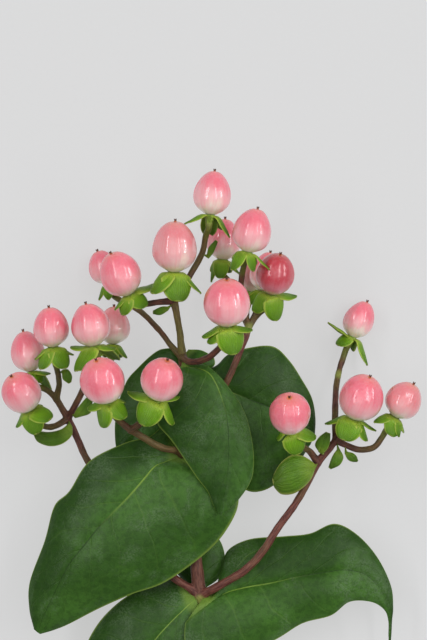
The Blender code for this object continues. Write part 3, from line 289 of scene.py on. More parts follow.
# Blades: rows from root to tip, each with x, y, z of the midrib, of the left edge and of the
# right edge.
LEAVES = {
    "leaf_front_left": (
        (-7.6, 38.4, 21.8, -6.9, 49.4, 19.4, 4.0, 36.8, 23.8),
        (-10.0, 37.6, 22.5, -9.2, 49.2, 19.0, 8.8, 33.6, 23.8),
        (-12.9, 36.4, 23.2, -14.0, 44.8, 19.6, 10.8, 27.2, 23.4),
        (-16.0, 32.8, 23.8, -21.0, 43.0, 20.2, 8.5, 20.5, 22.6),
        (-20.4, 27.7, 24.0, -31.1, 37.8, 19.6, 2.5, 13.0, 22.2),
        (-28.0, 19.9, 24.0, -36.7, 29.4, 18.6, -9.5, 4.2, 21.4),
        (-32.6, 14.2, 23.2, -40.9, 25.2, 18.0, -19.3, 0.6, 20.0),
        (-36.7, 9.0, 21.8, -43.6, 15.5, 17.0, -28.3, -3.4, 18.0),
        (-41.0, 0.6, 19.0, -47.8, 4.0, 15.4, -36.7, -7.8, 15.6),
        (-44.0, -5.8, 16.4, -48.0, -3.6, 14.6, -41.0, -9.6, 14.0),
        (-45.9, -10.2, 14.2, -46.7, -9.4, 14.2, -45.0, -10.8, 14.0)),
    "leaf_front_centre": (
        (-4.5, 64.7, 26.2, -5.2, 64.5, 26.1, -3.9, 65.0, 26.2),
        (-2.6, 64.3, 27.2, -8.6, 62.2, 26.8, -1.4, 65.0, 26.9),
        (0.0, 63.9, 28.4, -10.8, 58.6, 27.4, 1.6, 64.9, 27.8),
        (2.6, 62.6, 29.4, -12.2, 54.0, 27.6, 4.6, 62.6, 28.2),
        (4.4, 60.0, 29.8, -12.0, 50.0, 27.5, 7.6, 59.2, 27.8),
        (6.2, 55.6, 30.0, -11.6, 48.0, 27.2, 11.2, 54.0, 27.2),
        (7.4, 51.0, 30.0, -8.1, 44.0, 27.2, 13.3, 49.2, 27.0),
        (8.0, 45.5, 30.0, -4.2, 38.4, 27.1, 14.6, 43.0, 27.0),
        (8.0, 39.6, 29.6, -0.8, 33.4, 26.8, 15.0, 37.6, 27.0),
        (7.6, 33.6, 28.8, 2.2, 29.6, 27.0, 14.2, 32.6, 27.0),
        (6.8, 28.0, 27.8, 3.6, 26.2, 27.0, 11.0, 27.6, 27.0),
        (5.8, 23.0, 26.8, 4.9, 23.4, 26.8, 6.7, 23.2, 26.8)),
    "leaf_back_left": (
        (-4.8, 66.2, 20.9, -6.0, 69.4, 20.4, -3.2, 69.3, 20.4),
        (-5.2, 65.0, 20.7, -7.8, 69.6, 20.1, 0.0, 69.1, 20.2),
        (-5.5, 64.3, 20.6, -9.6, 69.5, 19.8, 2.4, 68.0, 20.1),
        (-6.0, 63.4, 20.4, -11.4, 69.1, 19.5, 4.0, 66.6, 20.0),
        (-6.8, 62.2, 20.2, -13.2, 68.0, 19.1, 3.4, 64.3, 20.0),
        (-7.8, 60.6, 19.9, -15.2, 66.3, 18.4, -2.4, 62.9, 20.2),
        (-9.2, 58.2, 19.5, -17.6, 63.9, 17.6, -5.4, 58.4, 19.4),
        (-11.2, 55.2, 19.0, -20.2, 61.0, 16.8, -6.0, 54.0, 18.4),
        (-13.6, 51.6, 18.3, -22.0, 57.0, 16.2, -6.8, 49.6, 17.4),
        (-16.2, 48.0, 17.6, -23.4, 52.6, 15.6, -9.6, 44.6, 16.4),
        (-18.6, 44.6, 16.8, -23.9, 48.0, 15.2, -13.6, 40.4, 15.6),
        (-20.6, 41.4, 16.1, -23.8, 43.4, 15.0, -17.2, 38.0, 15.4),
        (-22.0, 38.4, 15.4, -23.2, 39.6, 15.2, -20.8, 37.4, 15.4)),
    "leaf_back_right": (
        (-2.2, 61.0, 20.2, -2.0, 62.2, 20.2, -1.8, 59.8, 20.0),
        (1.5, 60.4, 19.6, 4.4, 64.6, 18.0, 1.0, 54.0, 18.4),
        (5.5, 58.6, 19.0, 7.8, 67.7, 17.4, 2.5, 48.0, 17.6),
        (10.5, 56.6, 18.8, 13.2, 69.6, 17.0, 5.0, 42.0, 17.0),
        (15.0, 54.8, 18.4, 20.4, 70.1, 16.0, 7.5, 35.0, 16.2),
        (18.5, 53.6, 18.0, 25.0, 66.2, 15.4, 12.6, 29.9, 15.4),
        (22.0, 52.0, 17.4, 28.6, 60.8, 15.0, 17.4, 29.5, 15.0),
        (25.5, 49.5, 16.8, 31.4, 55.6, 14.6, 22.6, 32.4, 14.6),
        (28.6, 46.4, 16.0, 32.4, 50.0, 14.4, 27.4, 37.0, 14.4),
        (31.5, 43.4, 15.0, 32.2, 44.4, 14.8, 30.8, 42.4, 14.8)),
    "leaf_low_right": (
        (2.4, -1.9, 19.2, 4.8, 2.0, 13.8, -1.4, -3.6, 20.6),
        (3.4, -1.6, 18.6, 5.6, 4.8, 13.2, -3.2, -6.4, 20.8),
        (4.6, -0.9, 18.0, 6.2, 8.4, 12.7, -4.2, -8.5, 20.9),
        (7.6, 0.9, 17.1, 8.2, 12.9, 12.2, -3.5, -14.5, 20.2),
        (12.6, 2.3, 16.4, 14.2, 15.8, 12.5, 3.5, -17.0, 18.4),
        (20.0, 3.6, 16.0, 23.5, 16.6, 13.0, 12.0, -16.4, 16.8),
        (27.0, 5.2, 15.6, 31.0, 17.4, 13.2, 21.5, -12.2, 15.2),
        (34.0, 6.4, 15.2, 37.8, 20.1, 13.2, 28.8, -7.8, 14.0),
        (41.0, 7.2, 14.6, 44.0, 17.2, 12.2, 36.8, -5.6, 13.0),
        (46.6, 5.8, 13.4, 49.8, 10.8, 11.0, 42.0, -1.8, 12.6),
        (50.8, 1.4, 11.6, 53.7, 2.8, 9.8, 48.0, -1.8, 11.8),
        (53.0, -3.8, 10.0, 54.4, -3.4, 9.0, 51.8, -4.0, 10.2),
        (53.6, -7.4, 9.0, 54.1, -7.3, 8.7, 53.1, -7.4, 9.1),
        (53.5, -13.0, 7.9, 53.8, -13.0, 7.8, 53.2, -13.0, 7.9)),
    "leaf_low_left": (
        (-3.0, -2.4, 18.9, -5.4, 5.0, 12.7, 0.4, -5.6, 18.8),
        (-5.2, -4.5, 18.5, -8.4, 5.2, 12.4, 1.2, -9.6, 18.2),
        (-8.0, -7.2, 18.0, -12.0, 3.6, 12.2, 0.8, -13.6, 17.6),
        (-12.0, -11.6, 17.4, -18.0, 1.2, 12.4, -1.0, -20.4, 16.6),
        (-16.0, -17.0, 16.6, -23.6, -2.6, 12.4, -3.8, -27.2, 15.0),
        (-20.0, -23.2, 15.4, -28.8, -8.2, 12.0, -8.2, -33.6, 13.2),
        (-24.0, -30.0, 13.8, -32.6, -15.4, 11.0, -14.0, -38.8, 11.6),
        (-27.6, -36.4, 12.0, -34.8, -24.4, 9.6, -20.4, -42.6, 10.2),
        (-30.6, -42.0, 10.2, -34.8, -35.4, 8.6, -26.4, -45.0, 9.0),
        (-33.2, -46.8, 8.4, -34.0, -46.0, 8.2, -32.4, -47.4, 8.2)),
    "leaf_low_back": (
        (0.0, 1.5, 12.6, -1.0, 1.9, 12.6, 1.0, 1.7, 12.6),
        (-0.5, 5.0, 12.0, -6.0, 5.5, 9.6, 5.2, 4.8, 10.8),
        (-1.0, 9.5, 11.4, -9.0, 10.5, 9.2, 6.9, 9.4, 10.0),
        (-1.8, 14.5, 11.0, -10.5, 16.5, 9.2, 6.2, 14.0, 9.8),
        (-3.0, 20.0, 10.8, -11.0, 22.5, 9.2, 3.6, 18.4, 9.8),
        (-4.5, 25.5, 10.6, -10.2, 28.0, 9.4, 0.6, 24.4, 10.0),
        (-6.5, 31.6, 10.4, -7.3, 31.3, 10.4, -5.7, 31.8, 10.4)),
}
BRACTS = {
    "bract_right_large": (
        (32.2, 36.3, 22.2, 32.4, 36.9, 22.2, 32.2, 35.7, 22.2),
        (30.4, 36.2, 23.6, 30.6, 38.4, 22.8, 31.2, 33.2, 22.3),
        (28.0, 35.6, 24.8, 28.2, 39.6, 23.6, 29.2, 30.8, 22.2),
        (25.6, 34.8, 25.4, 25.6, 39.6, 24.2, 26.2, 28.9, 22.4),
        (23.4, 33.9, 25.2, 22.8, 37.6, 24.2, 23.0, 28.7, 22.8),
        (21.8, 32.9, 24.6, 21.0, 34.8, 24.0, 21.2, 30.2, 23.2),
        (20.5, 32.2, 23.9, 20.3, 32.9, 23.9, 20.5, 31.5, 23.9)),
    "bract_right_inner": (
        (33.8, 40.3, 22.3, 33.2, 40.8, 22.3, 34.4, 40.0, 22.4),
        (34.0, 41.9, 23.1, 32.3, 42.6, 22.9, 35.6, 41.3, 23.0),
        (34.8, 43.8, 23.6, 33.4, 44.7, 23.4, 36.4, 43.3, 23.4),
        (35.9, 46.0, 23.6, 35.4, 46.2, 23.6, 36.5, 45.8, 23.6)),
    "bract_right_lower": (
        (38.9, 41.0, 20.7, 38.4, 41.1, 20.7, 39.4, 41.0, 20.7),
        (38.9, 39.4, 21.3, 37.6, 40.0, 20.9, 40.2, 39.0, 20.9),
        (38.1, 37.6, 21.3, 36.8, 38.4, 20.9, 39.2, 36.9, 20.9),
        (36.4, 35.9, 20.7, 36.1, 36.2, 20.7, 36.7, 35.7, 20.7)),
    "bract_right_bud": (
        (40.9, 40.4, 21.0, 40.6, 40.0, 21.0, 41.3, 40.6, 21.0),
        (42.2, 39.6, 21.5, 41.5, 38.4, 21.2, 42.9, 40.2, 21.2),
        (43.3, 38.7, 21.4, 42.7, 37.8, 21.1, 43.9, 39.3, 21.1),
        (44.2, 37.9, 21.0, 44.0, 37.7, 21.0, 44.4, 38.1, 21.0)),
    "bract_left_large": (
        (-36.6, 48.0, 15.0, -36.0, 47.4, 15.0, -37.2, 48.2, 15.0),
        (-37.6, 46.4, 15.7, -36.2, 45.0, 15.2, -38.8, 46.9, 15.3),
        (-39.6, 45.0, 16.3, -38.7, 42.8, 15.6, -40.9, 46.2, 15.2),
        (-42.2, 44.2, 16.9, -42.2, 42.1, 16.2, -42.8, 46.0, 15.8),
        (-44.8, 44.6, 17.3, -45.6, 43.3, 16.9, -44.6, 46.2, 16.5),
        (-46.5, 46.0, 17.3, -46.9, 45.5, 17.3, -46.1, 46.3, 17.3)),
    "bract_left_inner": (
        (-35.3, 50.5, 15.2, -35.4, 51.0, 15.2, -35.1, 50.0, 15.2),
        (-34.0, 51.2, 16.0, -34.6, 52.6, 15.9, -33.6, 50.4, 15.6),
        (-32.4, 53.0, 16.5, -32.6, 55.0, 16.4, -30.9, 51.4, 15.9),
        (-31.2, 55.2, 16.7, -31.7, 56.0, 16.5, -30.3, 54.2, 16.2),
        (-30.6, 56.9, 16.6, -30.9, 57.0, 16.6, -30.3, 56.7, 16.6)),
    "bract_left_upper": (
        (-38.6, 63.1, 20.6, -38.5, 63.7, 20.6, -38.7, 62.5, 20.6),
        (-37.8, 62.5, 21.3, -37.0, 63.6, 20.9, -38.6, 61.2, 20.9),
        (-37.1, 61.3, 21.5, -35.9, 61.8, 21.1, -38.0, 60.4, 21.1),
        (-36.5, 59.9, 21.2, -36.2, 60.1, 21.2, -36.8, 59.7, 21.2)),
    "bract_middle": (
        (-9.0, 80.8, 27.2, -9.0, 80.2, 27.2, -9.1, 81.3, 27.2),
        (-11.0, 80.2, 27.9, -11.1, 79.0, 27.5, -10.9, 81.2, 27.5),
        (-13.2, 79.7, 28.1, -13.2, 79.3, 28.1, -13.2, 80.1, 28.1)),
    "bract_top": (
        (2.1, 95.3, 24.8, 2.0, 95.9, 24.8, 2.4, 94.8, 24.8),
        (3.1, 97.1, 25.4, 2.5, 97.9, 25.1, 3.8, 96.6, 25.1),
        (4.7, 99.8, 25.6, 4.4, 100.0, 25.6, 5.0, 99.6, 25.6)),
}

# How woody a stem run is, by its number; the others are RUN_WOOD and the berry stalks 0.
# The run with OLIVE_RUN is partly green.
RUN_WOOD = 0.45
OLIVE_RUN = 0.2
STOUTNESS = {0: 1.0, 1: 1.0, 3: OLIVE_RUN, 6: 0.28, 7: 0.28, 8: 0.28, 10: 0.1}

# Where each blade grows from the stem.
ROOTS = {
    "leaf_front_left": (-5.6, 39.2, 21.3), "leaf_front_centre": (-4.9, 66.0, 25.3),
    "leaf_back_left": (-4.7, 67.2, 22.2), "leaf_back_right": (-3.6, 61.0, 21.6),
    "leaf_low_right": (0.9, -0.7, 18.0), "leaf_low_left": (-1.1, -0.9, 17.9),
    "leaf_low_back": (0.0, 1.0, 14.0), "bract_right_large": (32.9, 37.3, 21.1),
    "bract_right_inner": (34.9, 39.9, 21.0), "bract_right_lower": (38.4, 43.0, 20.8),
    "bract_right_bud": (40.7, 42.0, 20.5), "bract_left_large": (-37.0, 49.0, 13.8),
    "bract_left_inner": (-36.1, 51.2, 14.2), "bract_left_upper": (-39.3, 62.8, 19.4),
    "bract_middle": (-7.9, 81.9, 26.6), "bract_top": (0.9, 95.9, 24.6),
}
ROOT_SHARES = (0.1, 0.4, 0.7)

# Small pale patches of young bark: place and strength.
FRESH_MARKS = (((0.0, -1.2, 17.6), 0.6), ((39.0, 62.0, 6.9), 0.5), ((13.7, 75.3, 22.8), 0.5))

# Skin tones of the berries: rose, blush, cream and how far up the cream reaches.
SKIN_TONES = {
    "berry_skin": ((0.82, 0.175, 0.230), (0.84, 0.41, 0.43), (0.86, 0.75, 0.64), 0.04),
    "berry_skin_dark": ((0.50, 0.048, 0.068), (0.66, 0.21, 0.25), (0.74, 0.55, 0.48), -0.05),
    "berry_skin_pale": ((0.75, 0.220, 0.242), (0.78, 0.40, 0.40), (0.82, 0.72, 0.60), 0.05),
}


def place(points):
    """Table points in millimetres as points of the finished model in metres."""
    return (np.asarray(points, dtype=float)[..., :3] - ORIGIN) * MM


def set_all(target, **values):
    for key, value in values.items():
        setattr(target, key, value)
    return target


# Objects and meshes.
def latest():
    """The object that the last operator made or left active."""
    return bpy.context.view_layer.objects.active


def pick(*items):
    """Selects only these objects, the last of them active."""
    bpy.ops.object.select_all(action="DESELECT")
    for item in items:
        item.select_set(True)
    bpy.context.view_layer.objects.active = items[-1]


def settle(item):
    """Puts an object's place into its mesh."""
    pick(item)
    bpy.ops.object.transform_apply(location=True, rotation=True, scale=True)


def apply_all(item):
    pick(item)
    for name in [step.name for step in item.modifiers]:
        bpy.ops.object.modifier_apply(modifier=name)


def join_all(name, items):
    pick(*items)
    bpy.ops.object.join()
    whole = latest()
    whole.name = whole.data.name = name
    return whole


def own_copy(item, name):
    """A copy with its own mesh."""
    copy = item.copy()
    copy.data = item.data.copy()
    copy.name = copy.data.name = name
    bpy.context.scene.collection.objects.link(copy)
    return copy


def smooth(item, angle=60.0):
    pick(item)
    bpy.ops.object.shade_smooth_by_angle(angle=math.radians(angle))


@contextmanager
def editing(item):
    """Edit mode on one object, with all of its mesh selected."""
    pick(item)
    bpy.ops.object.mode_set(mode="EDIT")
    bpy.ops.mesh.select_all(action="SELECT")
    yield
    bpy.ops.object.mode_set(mode="OBJECT")


def paint(mesh, *materials):
    mesh.materials.clear()
    for material in materials:
        mesh.materials.append(material)


def read(items, key, width=1, kind=float):
    """One property of a mesh's vertices, corners or faces, a row for each."""
    values = np.empty(len(items) * width, dtype=kind)
    items.foreach_get(key, values)
    return values.reshape(-1, width) if width > 1 else values


def move_points(mesh, points):
    """Moves the vertices to these points of the model in metres."""
    mesh.vertices.foreach_set("co", points.ravel())
    mesh.update()


def write_map(mesh, name, pairs):
    """Writes the mesh's own map from one pair of numbers for each vertex."""
    layer = mesh.uv_layers.get(name) or mesh.uv_layers.new(name=name)
    corners = read(mesh.loops, "vertex_index", kind=int)
    layer.uv.foreach_set("vector", np.column_stack(pairs)[corners].ravel())


# Numbers.
def smooth_rows(rows, steps):
    """Rows of numbers along a smooth curve through the given rows."""
    rows = np.asarray(rows, dtype=float)
    padded = np.concatenate((2 * rows[:1] - rows[1:2], rows, 2 * rows[-1:] - rows[-2:-1]))
    result = []
    for index in range(len(rows) - 1):
        before, start, end, after = padded[index:index + 4]
        for step in range(steps):
            t = step / steps
            result.append(0.5 * (2 * start + (end - before) * t
                                 + (2 * before - 5 * start + 4 * end - after) * t * t
                                 + (3 * start - before - 3 * end + after) * t ** 3))
    result.append(rows[-1])
    return np.array(result)


def ease(value, low, high):
    """Smooth step from 0 at low to 1 at high."""
    t = np.clip((np.asarray(value, dtype=float) - low) / (high - low), 0.0, 1.0)
    return t * t * (3 - 2 * t)


def lengths(rows):
    return np.linalg.norm(rows, axis=1)


def ruffle(points, size, seed):
    """Soft noise at each point, between about -1 and 1; size is the length of a ripple."""
    flat = np.asarray(points, dtype=float).reshape(-1, 3) / size + seed * 7.3
    values = [noise.noise(Vector(point)) for point in flat]
    return np.array(values).reshape(np.shape(points)[:-1]) * 2.0


def square_to(line):
    """Two directions at right angles to a line, the first of them level."""
    side = np.cross(line, (0.0, 0.0, 1.0))
    side /= max(np.linalg.norm(side), TINY)
    return side, np.cross(side, line)


# Shader trees.
class Graph:
    """A shader tree with one short call for each kind of node that this scene uses."""

    def __init__(self, tree):
        self.tree = tree

    def feed(self, socket, value):
        """Links an output to a socket, or sets the socket's own value."""
        if isinstance(value, bpy.types.NodeSocket):
            self.tree.links.new(value, socket)
        else:
            socket.default_value = value

    def node(self, kind, inputs=(), **settings):
        step = set_all(self.tree.nodes.new(kind), **settings)
        for key, value in inputs:
            self.feed(step.inputs[key], value)
        return step

    def maths(self, operation, *values, clamp=False):
        return self.node("ShaderNodeMath", enumerate(values), operation=operation,
                         use_clamp=clamp).outputs[0]

    def times(self, first, second):
        return self.maths("MULTIPLY", first, second)

    def plus(self, first, second, clamp=False):
        return self.maths("ADD", first, second, clamp=clamp)

    def scaled(self, value, factor, offset):
        return self.maths("MULTIPLY_ADD", value, factor, offset)

    def from_middle(self, across):
        """0 at the middle line of a piece and 1 at its rim."""
        return self.maths("ABSOLUTE", self.scaled(across, 2.0, -1.0))

    def to_line(self, phase):
        """0.5 on the nearest of evenly spaced lines and 0 between two of them."""
        return self.maths("ABSOLUTE", self.maths("SUBTRACT", self.maths("FRACT", phase), 0.5))

    def span(self, value, low, high, start=0.0, end=1.0):
        """Smooth change from start to end while value goes from low to high."""
        return self.node("ShaderNodeMapRange", enumerate((value, low, high, start, end)),
                         interpolation_type="SMOOTHSTEP").outputs[0]

    def mix(self, factor, first, second):
        first, second = ((*value, 1.0) if isinstance(value, tuple) else value
                         for value in (first, second))
        return self.node("ShaderNodeMix", ((0, factor), (6, first), (7, second)),
                         data_type="RGBA").outputs[2]

    def lay(self, colour, over, mask, strength):
        """A colour with another over it where the mask is, at the given strength."""
        return self.mix(self.times(mask, strength), colour, over)

    def cloud(self, vector, scale, detail=2.0, roughness=0.5, distortion=0.0):
        return self.node("ShaderNodeTexNoise", (
            ("Vector", vector), ("Scale", scale), ("Detail", detail), ("Roughness", roughness),
            ("Distortion", distortion))).outputs["Fac"]

    def cells(self, vector, scale, feature):
        return self.node("ShaderNodeTexVoronoi", (("Vector", vector), ("Scale", scale)),
                         feature=feature).outputs["Distance"]

    def own_place(self):
        return self.node("ShaderNodeTexCoord").outputs["Object"]

    def join(self, *parts):
        return self.node("ShaderNodeCombineXYZ", enumerate(parts)).outputs[0]

    def split(self, vector):
        return self.node("ShaderNodeSeparateXYZ", ((0, vector),)).outputs[:3]

    def own_map(self, name):
        """The two coordinates of the piece's own map."""
        return self.split(self.node("ShaderNodeUVMap", uv_map=name).outputs[0])[:2]

    def attribute(self, name):
        """The three numbers that the mesh keeps under this name."""
        return self.split(self.node("ShaderNodeAttribute", attribute_name=name).outputs["Vector"])

    def use(self, group, **values):
        return self.node("ShaderNodeGroup", values.items(), node_tree=group).outputs

    def finish(self, colour, rough, height=None, depth=0.0, **values):
        """Gives the material its colour, roughness, relief and the shader's other values."""
        shader = self.tree.nodes["Principled BSDF"]
        self.feed(shader.inputs["Base Color"], colour)
        self.feed(shader.inputs["Roughness"], rough)
        if height is not None:
            bump = self.node("ShaderNodeBump", (("Strength", 1.0), ("Distance", depth),
                                                ("Height", height)))
            self.feed(shader.inputs["Normal"], bump.outputs[0])
        for key, value in values.items():
            self.feed(shader.inputs[key.replace("_", " ")], value)
        return self.material


def new_look(name):
    """The graph of a new material."""
    material = bpy.data.materials.new(name)
    material.use_nodes = True
    return set_all(Graph(material.node_tree), material=material)


def make_group(name, build, outputs, **inputs):
    """A node group of numbers; build turns its graph and inputs into its outputs.

    An input without a value is a place.
    """
    tree = bpy.data.node_groups.new(name, "ShaderNodeTree")
    for label, value in inputs.items():
        kind = "NodeSocketVector" if value is None else "NodeSocketFloat"
        socket = tree.interface.new_socket(label, in_out="INPUT", socket_type=kind)
        if value is not None:
            socket.default_value = value
    for label in outputs:
        tree.interface.new_socket(label, in_out="OUTPUT", socket_type="NodeSocketFloat")
    given, result = tree.nodes.new("NodeGroupInput"), tree.nodes.new("NodeGroupOutput")
    graph = Graph(tree)
    for socket, value in zip(result.inputs, build(graph, *given.outputs[:len(inputs)])):
        graph.feed(socket, value)
    return tree


def darker(colour, share):
    return tuple(value * share for value in colour)


def feather_veins(g, across, along, spot, pairs, slant):
    """Midrib, side veins, net and rim of a broad leaf, from its own map."""
    side = g.from_middle(across)
    half = g.times(g.maths("GREATER_THAN", across, 0.5), 0.5)
    wander = g.scaled(g.cloud(spot, 110.0, 1.0), 0.05, -0.025)
    swept = g.times(g.maths("POWER", side, 0.8), slant)
    phase = g.scaled(g.maths("SUBTRACT", g.plus(along, wander), swept), pairs, half)
    line = g.times(g.span(g.to_line(phase), 0.450, 0.497), g.span(side, 0.78, 0.98, 1.0, 0.0))
    rib = g.span(side, 0.004, 0.024, 1.0, 0.0)
    net = g.span(g.cells(spot, 420.0, "DISTANCE_TO_EDGE"), 0.0, 0.10, 1.0, 0.0)
    return rib, line, net, g.span(side, 0.968, 0.995)


def fine_fibres(g, across, along, spot, lines):
    """Fine lines that run from root to tip of a sepal or bract, its thin edge and patches."""
    wander = g.scaled(g.cloud(spot, 900.0, 2.0), 0.10, -0.05)
    fibre = g.span(g.to_line(g.times(g.plus(across, wander), lines)), 0.22, 0.48)
    rim = g.maths("MAXIMUM", g.span(g.from_middle(across), 0.86, 0.97),
                  g.span(along, 0.955, 0.99))
    return fibre, rim, g.span(g.cloud(spot, 330.0, 3.0, 0.6), 0.40, 0.66)


def bloom_and_sheen(g, spot, size):
    """Whitish patches that dull a leaf, partly a waxy bloom and partly painted sheen, and fine
    pores.
    """
    wide = g.span(g.cloud(spot, size, 3.0, 0.6, 0.6), 0.44, 0.70)
    grain = g.span(g.cloud(spot, 1900.0, 2.0, 0.75), 0.42, 0.60, 0.12, 1.0)
    return g.times(wide, grain), g.span(g.cells(spot, 1900.0, "F1"), 0.15, 0.55)


def skin_freckles(g, spot, fineness):
    """Small irregular spots and a slow drift of tone."""
    return (g.span(g.cloud(spot, fineness, 2.0, 0.6), 0.44, 0.70),
            g.span(g.cloud(spot, 85.0, 1.0), 0.32, 0.68))


FEATHER_VEINS = make_group("feather_veins", feather_veins, ("Midrib", "Side", "Net", "Edge"),
                           Across=0.5, Along=0.5, Place=None, Pairs=LEAF_PAIRS,
                           Slant=LEAF_SLANT)
FINE_FIBRES = make_group("fine_fibres", fine_fibres, ("Fibre", "Edge", "Patch"),
                         Across=0.5, Along=0.5, Place=None, Lines=13.0)
# Whitish leaf patches, partly waxy bloom and partly painted sheen, and fine pores.
BLOOM_AND_SHEEN = make_group("bloom_and_sheen", bloom_and_sheen, ("Bloom_and_sheen", "Pores"), Place=None, Size=90.0)
SKIN_FRECKLES = make_group("skin_freckles", skin_freckles, ("Spots", "Drift"),
                           Place=None, Fineness=1400.0)


def berry_material(name, tones):
    """Glossy berry skin: rose above, blush and cream toward the calyx, orange round the tip."""
    rose, blush, cream, shift = tones
    g = new_look(name)
    around, up = g.own_map("skin")
    spot = g.own_place()
    turn = g.times(around, math.tau)
    circle = g.maths("COSINE", turn), g.maths("SINE", turn)
    broad = g.cloud(g.join(*circle, g.times(up, 0.6)), 1.3, 1.0)
    streaks = g.cloud(g.join(*circle, g.times(up, 0.35)), 6.5, 3.0)
    spots, drift = g.use(SKIN_FRECKLES, Place=spot)
    level = g.scaled(broad, 0.34, -0.17 - shift)
    level = g.plus(level, g.scaled(streaks, 0.26, -0.13))
    level = g.plus(up, g.plus(level, g.scaled(drift, 0.14, -0.07)))
    colour = g.mix(g.span(level, 0.10, 0.33), cream, blush)
    colour = g.mix(g.span(level, 0.28, 0.60), colour, rose)
    salmon = tuple(a * b for a, b in zip(rose, (0.96, 1.15, 0.86)))
    colour = g.mix(g.span(up, 0.72, 0.93), colour, salmon)
    colour = g.lay(colour, blush, spots, 0.16)
    colour = g.lay(colour, (0.58, 0.60, 0.30), g.span(up, 0.02, 0.12, 1.0, 0.0), 0.45)
    colour = g.lay(colour, (0.74, 0.22, 0.050), g.span(up, 0.935, 0.972), 0.85)
    rough = g.plus(g.scaled(streaks, 0.10, 0.17), g.times(spots, 0.04))
    height = g.scaled(g.cloud(spot, 520.0, 2.0), 0.7, g.times(streaks, 0.6))
    return g.finish(colour, rough, height, 0.00012, Coat_Weight=0.60, Coat_Roughness=0.10,
                    Subsurface_Weight=0.22, Subsurface_Radius=(1.0, 0.45, 0.40),
                    Subsurface_Scale=0.0018)


def tip_material():
    """Dry brown styles that turn orange where they leave the berry."""
    g = new_look("berry_tip_brown")
    grain = g.cloud(g.own_place(), 1800.0, 3.0)
    up = g.own_map("skin")[1]
    brown = g.mix(grain, (0.030, 0.010, 0.006), (0.12, 0.035, 0.015))
    colour = g.mix(g.span(up, 0.10, 0.55, 1.0, 0.0), brown, (0.50, 0.11, 0.035))
    return g.finish(colour, g.scaled(grain, 0.3, 0.4), grain, 0.0001)


def sepal_material(name, dullness, root, middle, tip, rim):
    """Green sepal with fine lengthwise lines and a thin pale edge."""
    g = new_look(name)
    across, along = g.own_map("blade")
    spot = g.own_place()
    fibre, edge, patch = g.use(FINE_FIBRES, Across=across, Along=along, Place=spot)
    colour = g.mix(g.span(along, 0.05, 0.50), root, middle)
    colour = g.mix(g.span(along, 0.45, 0.98), colour, tip)
    colour = g.lay(colour, darker(middle, 0.62), patch, 0.45)
    pale = (middle[0] * 1.5 + 0.05, middle[1] * 1.4 + 0.05, middle[2] * 1.3 + 0.006)
    colour = g.lay(colour, pale, fibre, 0.17)
    colour = g.lay(colour, rim, edge, 0.7)
    height = g.scaled(g.cloud(spot, 1300.0, 2.0), 0.5, g.times(fibre, -0.8))
    return g.finish(colour, g.scaled(patch, 0.14, dullness), height, 0.00010,
                    Specular_IOR_Level=0.24, Subsurface_Weight=0.10,
                    Subsurface_Radius=(0.5, 1.0, 0.2), Subsurface_Scale=0.0006)


def leaf_material(name, dullness, dark, light, rib, rim, bloom_sheen_colour):
    """Satin leaf with a pale midrib, feathered veins, patches of waxy bloom and painted sheen,
    painted shade on one half and a thin light edge.
    """
    g = new_look(name)
    across, along = g.own_map("blade")
    spot = g.own_place()
    midrib, vein, net, edge = g.use(FEATHER_VEINS, Across=across, Along=along, Place=spot)
    bloom_sheen_mask, pores = g.use(BLOOM_AND_SHEEN, Place=spot)
    drift = g.span(g.cloud(spot, 45.0, 2.0), 0.34, 0.68)
    inward = g.times(g.span(g.from_middle(across), 0.0, 0.55, 1.0, 0.0),
                     g.span(along, 0.0, 0.75, 0.55, 0.1))
    tone = g.plus(g.times(drift, 0.75), inward)
    # Painted shade and light: the left half of every blade is made darker and the right half
    # lighter.
    tone = g.plus(tone, g.span(across, 0.15, 0.90, -0.35, 0.35), clamp=True)
    colour = g.mix(tone, dark, light)
    mottle = g.span(g.cloud(spot, 620.0, 3.0, 0.65), 0.40, 0.64)
    colour = g.lay(colour, darker(dark, 0.62), mottle, 0.42)
    faint = tuple(a * 0.35 + b * 0.65 for a, b in zip(rib, light))
    colour = g.lay(colour, faint, net, 0.05)
    strength = g.times(g.span(along, 0.10, 0.70, 0.30, 0.06), g.span(drift, 0.1, 0.8, 0.4, 1.0))
    colour = g.lay(colour, faint, vein, strength)
    # Whitish patches laid over the leaf colour: partly waxy bloom, partly painted sheen.
    colour = g.lay(colour, bloom_sheen_colour, bloom_sheen_mask, 0.42)
    colour = g.lay(colour, darker(dark, 0.5), midrib, g.span(along, 0.25, 0.50, 0.0, 0.65))
    colour = g.lay(colour, rib, midrib, g.span(along, 0.12, 0.48, 0.85, 0.0))
    colour = g.lay(colour, rim, edge, 0.75)
    colour = g.mix(g.span(along, 0.0, 0.045, 0.5, 0.0), colour, rib)
    height = g.scaled(pores, 0.10, g.scaled(net, -0.08, g.times(vein, -0.30)))
    return g.finish(colour, g.scaled(bloom_sheen_mask, 0.25, dullness), height, 0.00022,
                    Specular_IOR_Level=0.15)


